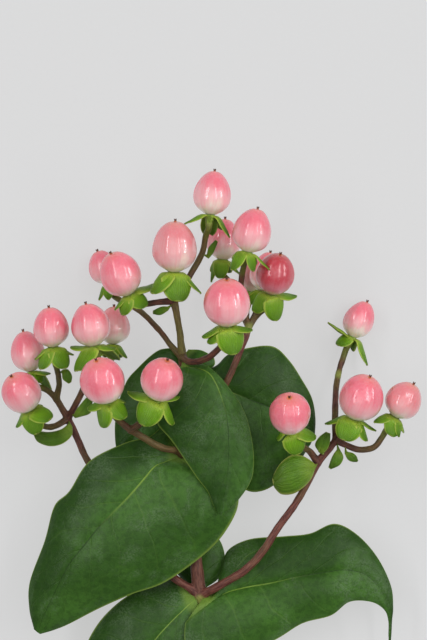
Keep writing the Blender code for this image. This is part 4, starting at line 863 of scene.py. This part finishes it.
def bark_material():
    """Red-brown stem with lengthwise streaks, green near the calyxes and the leaf nodes."""
    g = new_look("stem_bark_streaked")
    spot = g.own_place()
    run, level_part, steep_part = g.attribute("bark")
    green, stout, fresh = g.attribute("tint")
    lengthwise = g.join(g.times(run, 0.14), level_part, steep_part)
    streaks = g.cloud(lengthwise, 2.6, 3.0, 0.6)
    fine = g.cloud(lengthwise, 7.0, 2.0, 0.6)
    dark = g.mix(g.span(streaks, 0.36, 0.68), (0.050, 0.018, 0.012), (0.145, 0.050, 0.032))
    brown = g.mix(g.span(streaks, 0.38, 0.66), (0.072, 0.022, 0.014), (0.170, 0.066, 0.042))
    rose = g.mix(g.span(streaks, 0.36, 0.66), (0.078, 0.020, 0.015), (0.175, 0.058, 0.040))
    olive = g.mix(g.span(fine, 0.35, 0.65), (0.085, 0.085, 0.014), (0.165, 0.185, 0.026))
    bright = g.mix(fine, (0.24, 0.34, 0.05), (0.42, 0.50, 0.11))
    colour = g.mix(g.span(stout, 0.0, 0.45), dark, rose)
    colour = g.mix(g.span(stout, 0.45, 1.0), colour, brown)
    drift = g.span(g.cloud(spot, 75.0, 2.0), 0.42, 0.62)
    colour = g.lay(colour, olive, drift, g.span(stout, 0.0, 0.45, 0.4, 0.2))
    level = g.plus(green, g.times(g.scaled(streaks, 0.7, -0.35), 0.9))
    colour = g.mix(g.span(level, 0.12, 0.75), colour, olive)
    colour = g.mix(fresh, colour, bright)
    height = g.scaled(fine, 0.55, g.times(streaks, 0.8))
    height = g.plus(height, g.times(g.cloud(spot, 1500.0), 0.3))
    return g.finish(colour, g.scaled(fine, 0.22, 0.36), height, 0.00016,
                    Specular_IOR_Level=0.30)


def pith_material():
    """Moist cut face: pale pith, a paler ring of wood and the brown skin round it."""
    g = new_look("stem_cut_pith")
    spot = g.own_place()
    outward = g.own_map("blade")[1]
    ring = g.plus(outward, g.scaled(g.cloud(spot, 1600.0, 2.0), 0.2, -0.1))
    grain = g.cloud(spot, 4200.0, 2.0)
    colour = g.mix(g.span(ring, 0.30, 0.45), (0.62, 0.55, 0.34), (0.44, 0.50, 0.20))
    colour = g.lay(colour, (0.70, 0.66, 0.46), grain, 0.4)
    colour = g.mix(g.span(outward, 0.80, 0.92), colour, (0.14, 0.06, 0.03))
    return g.finish(colour, g.scaled(grain, 0.3, 0.35), grain, 0.0001)


# Sepals and bracts: dullness, then the colours of root, middle, tip and rim.
# Leaves: dullness, then the colours of dark and light parts, midrib, rim and the whitish patches
# of waxy bloom and painted sheen.
BERRY_SKINS = {look: berry_material(look + "_glossy", tones) for look, tones in SKIN_TONES.items()}
TIP_BROWN = tip_material()
SEPAL_LOOKS = (
    sepal_material("sepal_green_face", 0.34, (0.350, 0.450, 0.050), (0.135, 0.295, 0.005),
                   (0.075, 0.185, 0.004), (0.42, 0.50, 0.08)),
    sepal_material("sepal_green_back", 0.44, (0.260, 0.380, 0.050), (0.150, 0.280, 0.024),
                   (0.100, 0.200, 0.014), (0.40, 0.47, 0.10)))
BRACT_LOOKS = (
    sepal_material("bract_green_face", 0.38, (0.200, 0.310, 0.030), (0.080, 0.185, 0.008),
                   (0.055, 0.110, 0.006), (0.34, 0.36, 0.08)),
    sepal_material("bract_green_back", 0.50, (0.240, 0.300, 0.060), (0.140, 0.210, 0.032),
                   (0.120, 0.090, 0.022), (0.34, 0.32, 0.09)))
LEAF_LOOKS = (
    leaf_material("leaf_green_face", 0.36, (0.020, 0.060, 0.007), (0.050, 0.134, 0.018),
                  (0.200, 0.310, 0.045), (0.170, 0.250, 0.040), (0.130, 0.190, 0.105)),
    leaf_material("leaf_green_back", 0.52, (0.070, 0.150, 0.030), (0.130, 0.240, 0.050),
                  (0.270, 0.370, 0.100), (0.200, 0.280, 0.060), (0.230, 0.280, 0.170)))
BARK = bark_material()
PITH = pith_material()


# Blades.
def grid_piece(name, grid, across, along):
    """A one-sided sheet through a grid of points, with its own map."""
    rows, columns = grid.shape[:2]
    bpy.ops.mesh.primitive_grid_add(x_subdivisions=columns - 1, y_subdivisions=rows - 1, size=1.0)
    item = latest()
    item.name = name
    mesh = item.data
    start = read(mesh.vertices, "co", 3)
    j = np.rint((start[:, 0] + 0.5) * (columns - 1)).astype(int)
    i = np.rint((start[:, 1] + 0.5) * (rows - 1)).astype(int)
    move_points(mesh, place(grid[i, j]))
    mesh.uv_layers[0].name = "blade"
    write_map(mesh, "blade", (across[i, j], along[i, j]))
    return item


def face_toward(item, direction):
    """Turns the sheet's faces so that they look toward the given direction on the whole."""
    faces = item.data.polygons
    mean = (read(faces, "normal", 3) * read(faces, "area")[:, None]).sum(axis=0)
    if float(mean @ np.asarray(direction)) < 0:
        with editing(item):
            bpy.ops.mesh.flip_normals()


def thicken(item, thickness, looks):
    """Gives the sheet its upper and lower face, half as far apart at the rim."""
    mesh = item.data
    paint(mesh, *looks)
    side = np.zeros(len(mesh.vertices))
    corners = read(mesh.loops, "vertex_index", kind=int)
    side[corners] = np.abs(read(mesh.uv_layers[0].uv, "vector", 2)[:, 0] * 2 - 1)
    body = item.vertex_groups.new(name="body")
    for index, value in enumerate(side):
        body.add([index], float(1.0 - ease(value, *THIN_RIM)), "REPLACE")
    set_all(item.modifiers.new("shell", "SOLIDIFY"), thickness=thickness * MM, offset=0.0,
            use_even_offset=False, vertex_group="body", thickness_vertex_group=0.5,
            material_offset=1)
    apply_all(item)
    item.vertex_groups.clear()


def blade_points(rows, seed, columns, arch, wave, groove, vein_depth):
    """Fine points of a blade with its midrib channel, side veins and soft dents, and its map."""
    table = smooth_rows(rows, BLADE_STEPS)
    mid, left, right = table[:, 0:3], table[:, 3:6], table[:, 6:9]
    count = len(table)
    run = np.linspace(0, 1, count)
    stride = lengths(np.diff(mid, axis=0))
    along = np.concatenate(((0.0,), np.cumsum(stride))) / stride.sum()
    grid = np.zeros((count, columns + 1, 3))
    spread = np.zeros((count, columns + 1))
    for j in range(columns + 1):
        u = 2 * j / columns - 1
        share = abs(u) ** BLADE_CROWDING
        spread[:, j] = math.copysign(share, u)
        edge = left if u < 0 else right
        reach = lengths(edge - mid)
        lift = arch * 4 * share * (1 - share) * reach * np.minimum(run / ARCH_START, 1.0)
        lift += wave * share ** 2 * reach * np.sin(run * RIM_WAVES + (1.3 if u < 0 else 3.1))
        phase = (along - LEAF_SLANT * share ** 0.8) * LEAF_PAIRS + (0.5 if u > 0 else 0.0)
        near = np.abs(phase - np.floor(phase) - 0.5)
        vein = ease(near, *VEIN_BAND) * (1 - ease(share, *VEIN_ENDS)) * ease(reach, 1.0, 5.0)
        channel = np.exp(-(share * reach / CHANNEL_WIDTH) ** 2) * ease(reach, 0.5, 3.0)
        grid[:, j] = mid + (edge - mid) * share
        grid[:, j, 2] += lift
        grid[:, j, 2] -= groove * channel + vein_depth * vein * ease(share, 0.0, 0.08)
        grid[:, j, 2] -= RIM_ROLL * ease(share, RIM_START, 1.0) * ease(reach, 2.0, 8.0)
    (wide, deep), (narrow, shallow) = DENTS
    dents = ruffle(grid, wide, seed) * deep + ruffle(grid, narrow, seed + 3) * shallow
    grid[:, :, 2] += dents * ease(1 - np.abs(spread), 0.0, 0.2)
    return grid, (spread + 1) / 2, np.repeat(along[:, None], columns + 1, axis=1)


def grow_root(name, grid, across, along):
    """Adds the short web between the foot of a blade and the place on the stem it grows from."""
    root = np.array(ROOTS[name])
    web = np.array([root + (grid[0] - root) * share for share in ROOT_SHARES])
    return (np.concatenate((web, grid)),
            np.concatenate((np.repeat(across[:1], len(web), axis=0), across)),
            np.concatenate((np.zeros((len(web), along.shape[1])), along)))


def make_blade(name, rows, seed, shape, thickness, looks):
    points = grow_root(name, *blade_points(rows, seed, **shape))
    item = grid_piece(name + "_blade", *points)
    face_toward(item, (0, 0, 1))
    thicken(item, thickness, looks)
    smooth(item)
    return item


# Berries and calyxes.
def berry_frame(spec):
    """Base point and the axis, forward and right directions of a berry."""
    centre, length = spec[0], spec[2]
    lean, tilt = math.radians(spec[3]), math.radians(spec[4])
    axis = np.array((math.sin(lean) * math.cos(tilt), math.cos(lean) * math.cos(tilt),
                     math.sin(tilt)))
    right = np.array((math.cos(lean), -math.sin(lean), 0.0))
    return np.array(centre) - axis * length / 2, axis, np.cross(right, axis), right


def berry_radius(share, angle, width, tilt, seed):
    """Radius with three shallow lobes, ribs that gather at the tip and three furrows."""
    round_part = np.sqrt(np.maximum(1 - (2 * share - 1) ** 2, 0.0))
    taper = 1 + BERRY_TAPER * (1 - max(tilt, 0) / TAPER_TILT) * (BERRY_WIDEST - share)
    lobe = 1 + BERRY_LOBE * np.cos(3 * angle) * round_part
    gather = ease(share, 0.25, 0.8)
    rib = np.cos(BERRY_RIBS * angle + seed) + 0.6 * np.cos(FINE_RIBS * angle + 2.1 * seed)
    furrow = np.exp(-((np.mod(angle * 3 / math.tau + 0.5, 1.0) - 0.5) / FURROW_WIDTH) ** 2)
    dent = 1 + BERRY_RIB * rib * (0.45 + 0.75 * gather) - BERRY_DENT * furrow * gather
    return width / 2 * round_part * taper * lobe * dent


def shared_tip():
    """Three hooked styles round the tip of a berry, modelled once at the origin, axis up."""
    parts = []
    for number in range(3):
        bpy.ops.mesh.primitive_cylinder_add(vertices=10, radius=1.0, depth=1.0,
                                            location=(0, 0, 0.5), end_fill_type="TRIFAN")
        hook = latest()
        hook.data.uv_layers[0].name = "skin"
        with editing(hook):
            for cut in range(3):
                bpy.ops.mesh.bisect(plane_co=(0, 0, 0.25 * (cut + 1)), plane_no=(0, 0, 1))
                bpy.ops.mesh.select_all(action="SELECT")
        settle(hook)
        for vert in hook.data.vertices:
            rise = min(max(vert.co.z, 0.0), 1.0)
            thick = STYLE_RADII[round(rise * 4)]
            bend = 0.11 + 0.26 * rise ** 1.8
            height = -0.40 + 1.00 * rise - 0.08 * rise ** 3
            x, y = vert.co.x * thick, vert.co.y * thick
            vert.co = (bend + x * (1 - 0.3 * rise), y, height - x * 0.5 * rise)
        hook.data.transform(Matrix.Rotation(math.radians(120 * number + 20), 4, "Z"))
        parts.append(hook)
    whole = join_all("shared_tip", parts)
    height = np.array([vert.co.z for vert in whole.data.vertices])
    rise = (height - height.min()) / np.ptp(height)
    write_map(whole.data, "skin", (np.full(len(rise), 0.5), rise))
    paint(whole.data, TIP_BROWN)
    set_all(whole.modifiers.new("rounded", "SUBSURF"), levels=1, render_levels=1)
    apply_all(whole)
    smooth(whole)
    return whole


def set_on(item, origin, forward, right, axis):
    """Moves a mesh modelled at the origin, axis up, onto a berry's base or tip."""
    turn = Matrix((forward, right, axis)).transposed().to_4x4()
    item.data.transform(Matrix.Translation(place(origin)) @ turn @ Matrix.Scale(MM, 4))


def make_berry(name, spec, seed):
    base, axis, forward, right = berry_frame(spec)
    width, length, tilt = spec[1], spec[2], spec[4]
    bpy.ops.mesh.primitive_uv_sphere_add(segments=BERRY_SEGMENTS, ring_count=BERRY_RINGS,
                                         radius=1.0)
    body = latest()
    mesh = body.data
    mesh.uv_layers[0].name = "skin"
    points = read(mesh.vertices, "co", 3)
    share = np.clip((points[:, 2] + 1) / 2, 0.0, 1.0)
    angle = np.arctan2(points[:, 1], points[:, 0])
    radius = berry_radius(share, angle, width, tilt, seed)
    radius[(share < 1e-5) | (share > 1 - 1e-5)] = 0.0
    along = length * share
    along -= TIP_DIP * np.exp(-(1 - share) / TIP_DIP_WIDTH)
    along -= FOOT_DIP * (1 - ease(share, 0.0, FOOT_DIP_WIDTH))
    surface = base + axis * along[:, None] + forward * (radius * np.cos(angle))[:, None]
    surface = surface + right * (radius * np.sin(angle))[:, None]
    outward = surface - (base + axis * length / 2)
    outward /= np.maximum(np.linalg.norm(outward, axis=1, keepdims=True), TINY)
    surface += outward * (ruffle(surface, BERRY_RIPPLE, seed) * BERRY_UNEVEN)[:, None]
    surface[:, 2] = np.maximum(surface[:, 2], 0.0)
    move_points(mesh, place(surface))
    with editing(body):
        bpy.ops.mesh.normals_make_consistent(inside=False)
    mesh.materials.append(BERRY_SKINS[spec[5]])
    tip = own_copy(SHARED_TIP, name + "_tip")
    set_on(tip, base + axis * length, forward, right, axis)
    whole = join_all(name + "_skin", [tip, body])
    smooth(whole, 70.0)
    return whole


def sepal_points(spec, sepal, seed):
    """Fine points of one sepal, its map and the way it points.

    It leaves the cup level and bends back toward the stalk.
    """
    base, axis, forward, right = berry_frame(spec)
    turn, length, width, bend = sepal
    length *= SEPAL_LONGER
    width *= SEPAL_WIDER
    rise = math.radians(-SEPAL_RISE)
    fall = math.radians(bend * SEPAL_DROOP) - rise
    turn = math.radians(turn)
    outward = forward * math.cos(turn) + right * math.sin(turn)
    across = np.cross(axis, outward)
    point = base - axis * (GAP + SEPAL_ROOT_DEPTH) + outward * SEPAL_ROOT_RADIUS
    power = 0.85 - 0.4 * min(max((width / length - 0.4) / 0.35, 0.0), 1.0)
    rows, columns = SEPAL_ROWS, SEPAL_COLUMNS
    grid = np.zeros((rows + 1, columns + 1, 3))
    shares = 0.5 - 0.5 * np.cos(np.linspace(0.0, 1.0, rows + 1) * math.pi * 0.96)
    shares = shares / shares[-1]

    def slope(share):
        return rise + fall * float(ease(share, 0.0, SEPAL_BEND_END))

    for i, t in enumerate(shares):
        if i:
            last = shares[i - 1]
            for part in range(SEPAL_PARTS):
                angle = slope(last + (t - last) * (part + 0.5) / SEPAL_PARTS)
                step = outward * math.cos(angle) - axis * math.sin(angle)
                point = point + step * (length * (t - last) / SEPAL_PARTS)
        angle = slope(t)
        up = axis * math.cos(angle) + outward * math.sin(angle)
        swell = (4 * t ** 0.8 * (1 - t ** 0.8)) ** power if 0 < t < 1 else 0.0
        half = width / 2 * min(swell + 0.2 * (1 - t) ** 3, 1.0) + 0.10
        for j in range(columns + 1):
            u = 2 * j / columns - 1
            vein = math.cos(u * SEPAL_VEINS * math.pi) * (1 - abs(u)) * float(ease(t, 0.1, 0.4))
            droop = SEPAL_ARCH * half * u * u + 0.10 * half * float(ease(abs(u), 0.8, 1.0))
            hollow = SEPAL_HOLLOW * math.exp(-(u / 0.12) ** 2) * float(ease(t, 0.0, 0.3))
            lift = SEPAL_VEIN_HEIGHT * vein - hollow
            grid[i, j] = point + across * (half * u) - up * (droop - lift)
    grid += axis * (ruffle(grid, SEPAL_RIPPLE, seed) * SEPAL_UNEVEN)[:, :, None]
    spread, along = np.meshgrid(np.linspace(0.0, 1.0, columns + 1), shares)
    return (grid, spread, along), outward


def shared_cup():
    """Rounded receptacle between the stalk and the sepals, modelled once at the origin."""
    radius, foot = CUP_PROFILE[0]
    bpy.ops.mesh.primitive_circle_add(vertices=28, radius=radius, fill_type="TRIFAN",
                                      location=(0, 0, foot))
    cup = latest()
    settle(cup)
    with editing(cup):
        bpy.ops.mesh.select_mode(type="EDGE")
        bpy.ops.mesh.region_to_loop()
        for (inner, low), (outer, high) in zip(CUP_PROFILE, CUP_PROFILE[1:]):
            bpy.ops.mesh.extrude_edges_move(TRANSFORM_OT_translate={"value": (0, 0, high - low)})
            grow = outer / inner
            bpy.ops.transform.resize(value=(grow, grow, 1.0))
        bpy.ops.mesh.extrude_edges_move(TRANSFORM_OT_translate={"value": (0, 0, -0.05)})
        bpy.ops.mesh.merge(type="CENTER")
        bpy.ops.mesh.select_all(action="SELECT")
        bpy.ops.mesh.normals_make_consistent(inside=False)
    points = [vert.co for vert in cup.data.vertices]
    turn = np.array([math.atan2(point.y, point.x) for point in points])
    height = np.array([point.z for point in points])
    write_map(cup.data, "blade", (0.5 + 0.42 * np.sin(turn * 3), 0.02 + 0.03 * height))
    cup.data.materials.append(SEPAL_LOOKS[1])
    smooth(cup, 80.0)
    return cup


def make_calyx(name, spec, seed):
    base, axis, forward, right = berry_frame(spec)
    cup = own_copy(SHARED_CUP, name + "_cup")
    set_on(cup, base - axis * (GAP + CUP_LENGTH), forward, right, axis)
    pieces = []
    for number, sepal in enumerate(spec[6]):
        points, outward = sepal_points(spec, sepal, seed + number)
        item = grid_piece("%s_sepal_%d" % (name, number), *points)
        face_toward(item, axis + outward * 1.2)
        thicken(item, SEPAL_THICKNESS, SEPAL_LOOKS)
        pieces.append(item)
    whole = join_all(name + "_sepals", pieces + [cup])
    smooth(whole)
    return whole


# Stem.
def tube(name, points):
    """A round stem through points of x, y, z, radius, closed at both ends."""
    curve = set_all(bpy.data.curves.new(name, "CURVE"), dimensions="3D", bevel_depth=MM,
                    bevel_resolution=5, use_fill_caps=True)
    spline = curve.splines.new("POLY")
    spline.points.add(len(points) - 1)
    for knot, point in zip(spline.points, points):
        knot.co = (*place(point), 1.0)
        knot.radius = point[3]
    item = bpy.data.objects.new(name, curve)
    bpy.context.scene.collection.objects.link(item)
    pick(item)
    bpy.ops.object.convert(target="MESH")
    return latest()


def stalk_points(name):
    """A stalk from its parent into the foot of the calyx, which it meets square."""
    base, axis = berry_frame(BERRIES[name])[:2]
    end = base - axis * (GAP + CUP_LENGTH - STALK_DEPTH)
    before = base - axis * (2 * GAP + CUP_LENGTH + STALK_STRAIGHT)
    rows = list(STALKS[name]) + [(*before, STALK_RADIUS), (*end, STALK_END_RADIUS)]
    return smooth_rows(rows, STALK_STEPS)


def make_stem():
    lines = [(smooth_rows(run, STEM_STEPS), STOUTNESS.get(number, RUN_WOOD))
             for number, run in enumerate(STEM_RUNS)]
    lines += [(stalk_points(name), 0.0) for name in STALKS]
    pieces = [tube("line_%d" % number, line[0]) for number, line in enumerate(lines)]
    for x, y, z, radius in SWELLINGS:
        bpy.ops.mesh.primitive_uv_sphere_add(segments=24, ring_count=16,
                                             radius=radius * SWELLING * MM,
                                             location=place((x, y, z)))
        pieces.append(latest())
        settle(pieces[-1])
    whole = join_all("stem_bark_skin", pieces)
    set_all(whole.modifiers.new("skin", "REMESH"), mode="VOXEL", voxel_size=STEM_VOXEL * MM,
            use_smooth_shade=True)
    set_all(whole.modifiers.new("soften", "SMOOTH"), factor=0.5, iterations=5)
    apply_all(whole)
    mark_bark(whole.data, lines)
    return whole


def mark_bark(mesh, lines):
    """Writes where each point lies along and round its stem, and how green or fresh it is."""
    spots = read(mesh.vertices, "co", 3) / MM + ORIGIN
    best = np.full(len(spots), np.inf)
    bark, tint, outward = (np.zeros(spots.shape) for _ in range(3))
    offset = 0.0
    for points, stout in lines:
        centre = points[:, :3]
        strides = lengths(np.diff(centre, axis=0))
        travelled = np.concatenate(((0.0,), np.cumsum(strides)))
        low, high = centre.min(axis=0) - 3.0, centre.max(axis=0) + 3.0
        close = np.where(np.all((spots > low) & (spots < high), axis=1))[0]
        for k, stride in enumerate(strides):
            line = (centre[k + 1] - centre[k]) / max(stride, TINY)
            away = spots[close] - centre[k]
            t = np.clip(away @ line, 0.0, stride)
            gap = away - t[:, None] * line
            distance = lengths(gap) - points[k, 3]
            nearer = distance < best[close]
            chosen = close[nearer]
            gap = gap[nearer]
            best[chosen] = distance[nearer]
            side, up = square_to(line)
            here = travelled[k] + t[nearer]
            bark[chosen] = np.column_stack((here + offset, gap @ side, gap @ up))
            outward[chosen] = gap / np.maximum(lengths(gap)[:, None], TINY)
            tint[chosen] = (0.4 if stout == OLIVE_RUN else 0.0, stout, 0.0)
            if stout == 0.0:
                left = travelled[-1] - here
                tint[chosen, 0] = 1 - ease(left, *GREEN_REACH)
                tint[chosen, 2] = 0.8 * (1 - ease(left, *FRESH_REACH))
        offset += RUNS_APART
    for mark, strength in FRESH_MARKS:
        fresh = strength * (1 - ease(lengths(spots - np.array(mark)), *MARK_REACH))
        tint[:, 2] = np.maximum(tint[:, 2], fresh)
    for name, values in (("bark", bark), ("tint", tint)):
        layer = mesh.attributes.new(name, "FLOAT_VECTOR", "POINT")
        layer.data.foreach_set("vector", values.ravel())
    (wide, tall), (narrow, short) = LUMPS
    lump = ruffle(spots, wide, 5) * tall + ruffle(bark * (0.18, 1.0, 1.0), narrow, 9) * short
    spots = spots + outward * lump[:, None]
    spots[:, 2] = np.maximum(spots[:, 2], 0.0)
    move_points(mesh, place(spots))
    paint(mesh, BARK)


def make_cut_face():
    """The cut end of the stem: a thin disc that stands on the end of the tube."""
    points = smooth_rows(STEM_RUNS[0], STEM_STEPS)
    line = points[1, :3] - points[0, :3]
    line /= np.linalg.norm(line)
    side, up = square_to(line)
    radius = CUT_END[3] * CUT_SHARE
    bpy.ops.mesh.primitive_circle_add(vertices=40, radius=1.0, fill_type="NGON")
    disc = latest()
    with editing(disc):
        bpy.ops.mesh.select_mode(type="FACE")
        bpy.ops.mesh.select_all(action="SELECT")
        for inward in CUT_RINGS:
            bpy.ops.mesh.inset(thickness=inward)
        bpy.ops.mesh.poke()
    mesh = disc.data
    flat = read(mesh.vertices, "co", 3)[:, :2]
    reach = lengths(flat)
    for layer in list(mesh.uv_layers):
        mesh.uv_layers.remove(layer)
    write_map(mesh, "blade", (flat[:, 0], reach))
    dome = 0.02 - 0.10 * (1 - reach ** 2) + 0.03 * np.sin(flat[:, 0] * 5.0)
    move_points(mesh, place(points[0, :3] + side * (flat[:, :1] * radius)
                            + up * (flat[:, 1:] * radius) - line * dome[:, None]))
    face_toward(disc, -line)
    mesh.materials.append(PITH)
    set_all(disc.modifiers.new("shell", "SOLIDIFY"), thickness=CUT_THICKNESS * MM,
            offset=-1.0)
    apply_all(disc)
    smooth(disc)
    return disc


SHARED_TIP = shared_tip()
SHARED_CUP = shared_cup()


def keep_inside(item):
    """Shifts a finished piece by the little that its fine skin stands out of the solids' box."""
    spots = read(item.data.vertices, "co", 3)
    inward = np.maximum(np.array(solid_low) - spots.min(axis=0), 0.0)
    inward += np.minimum(np.array(solid_high) - spots.max(axis=0), 0.0)
    item.data.transform(Matrix.Translation(inward))


def dress(piece, slot, *nodes):
    keep_inside(piece)
    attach(piece, "root")
    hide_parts(*nodes)


def main():
    bark = make_stem()
    dress(join_all("stem_bark_skin", [make_cut_face(), bark]), "stem_bark", "stem")
    for number, (name, spec) in enumerate(BERRIES.items()):
        dress(make_berry(name, spec, number * SEED_STEP), spec[5], name)
        calyx = name.replace("berry_", "calyx_")
        dress(make_calyx(calyx, spec, number * SEED_STEP), "sepal_green", calyx)
    for blades, slot, *look in (
            (LEAVES, "leaf_green", LEAF_SHAPE, LEAF_THICKNESS, LEAF_LOOKS),
            (BRACTS, "bract_green", BRACT_SHAPE, BRACT_THICKNESS, BRACT_LOOKS)):
        for number, (name, rows) in enumerate(blades.items()):
            dress(make_blade(name, rows, number, *look), slot, name)
    for shared in (SHARED_TIP, SHARED_CUP):
        bpy.data.objects.remove(shared, do_unlink=True)


# Studio.
def floor_material():
    g = new_look("studio_paper")
    grain = g.cloud(g.own_place(), 900.0, 2.0)
    colour = g.mix(grain, (0.158, 0.159, 0.160), (0.170, 0.171, 0.172))
    return g.finish(colour, 0.9, Specular_IOR_Level=0.1, Emission_Strength=0.52,
                    Emission_Color=(1.0, 0.998, 0.998, 1.0))


def soft_box(name, spot, aim, width, length, power):
    """A rectangular soft light whose long side runs along Y."""
    light = set_all(bpy.data.lights.new(name, "AREA"), shape="RECTANGLE", size=width,
                    size_y=length, energy=power)
    back = (Vector(spot) - Vector(aim)).normalized()
    across = Vector((0.0, 1.0, 0.0)).cross(back).normalized()
    turn = Matrix((across, back.cross(across), back)).transposed()
    item = set_all(bpy.data.objects.new(name, light), location=spot,
                   rotation_euler=turn.to_euler(), visible_camera=False)
    bpy.context.scene.collection.objects.link(item)


def studio():
    bpy.ops.mesh.primitive_plane_add(size=6.0, location=(0.0, 0.0, FLOOR_DROP))
    floor = latest()
    floor.name = "studio_floor"
    floor.data.materials.append(floor_material())
    settle(floor)
    aim = (0.0, 0.06, 0.02)
    soft_box("window_left", (-0.72, 0.36, 0.92), aim, 0.16, 1.25, 5.4)
    soft_box("window_right", (0.62, 0.34, 0.98), aim, 0.13, 1.15, 3.9)
    soft_box("window_side", (1.12, 0.32, 0.68), aim, 0.10, 0.95, 5.0)
    soft_box("ceiling", (0.0, 0.30, 2.0), aim, 2.0, 2.0, 12.0)
    world = bpy.data.worlds.new("studio_world")
    world.use_nodes = True
    backdrop = world.node_tree.nodes["Background"].inputs
    backdrop["Color"].default_value = (0.94, 0.97, 1.0, 1.0)
    backdrop["Strength"].default_value = 0.32
    bpy.context.scene.world = world
    bpy.context.scene.view_settings.view_transform = "Standard"


def camera():
    """Looks straight down from far off, as the photograph looks at the upright stem."""
    tall = PHOTO_HEIGHT * PHOTO_SCALE * MM
    lens = set_all(bpy.data.cameras.new("camera"), sensor_width=SENSOR, clip_start=0.1,
                   clip_end=20.0, lens=SENSOR * (CAMERA_HEIGHT - VIEW_LEVEL * MM) / tall)
    item = bpy.data.objects.new("camera", lens)
    item.location = (*place((*VIEW, 0.0))[:2], CAMERA_HEIGHT)
    bpy.context.scene.collection.objects.link(item)
    bpy.context.scene.camera = item


main()
studio()
camera()
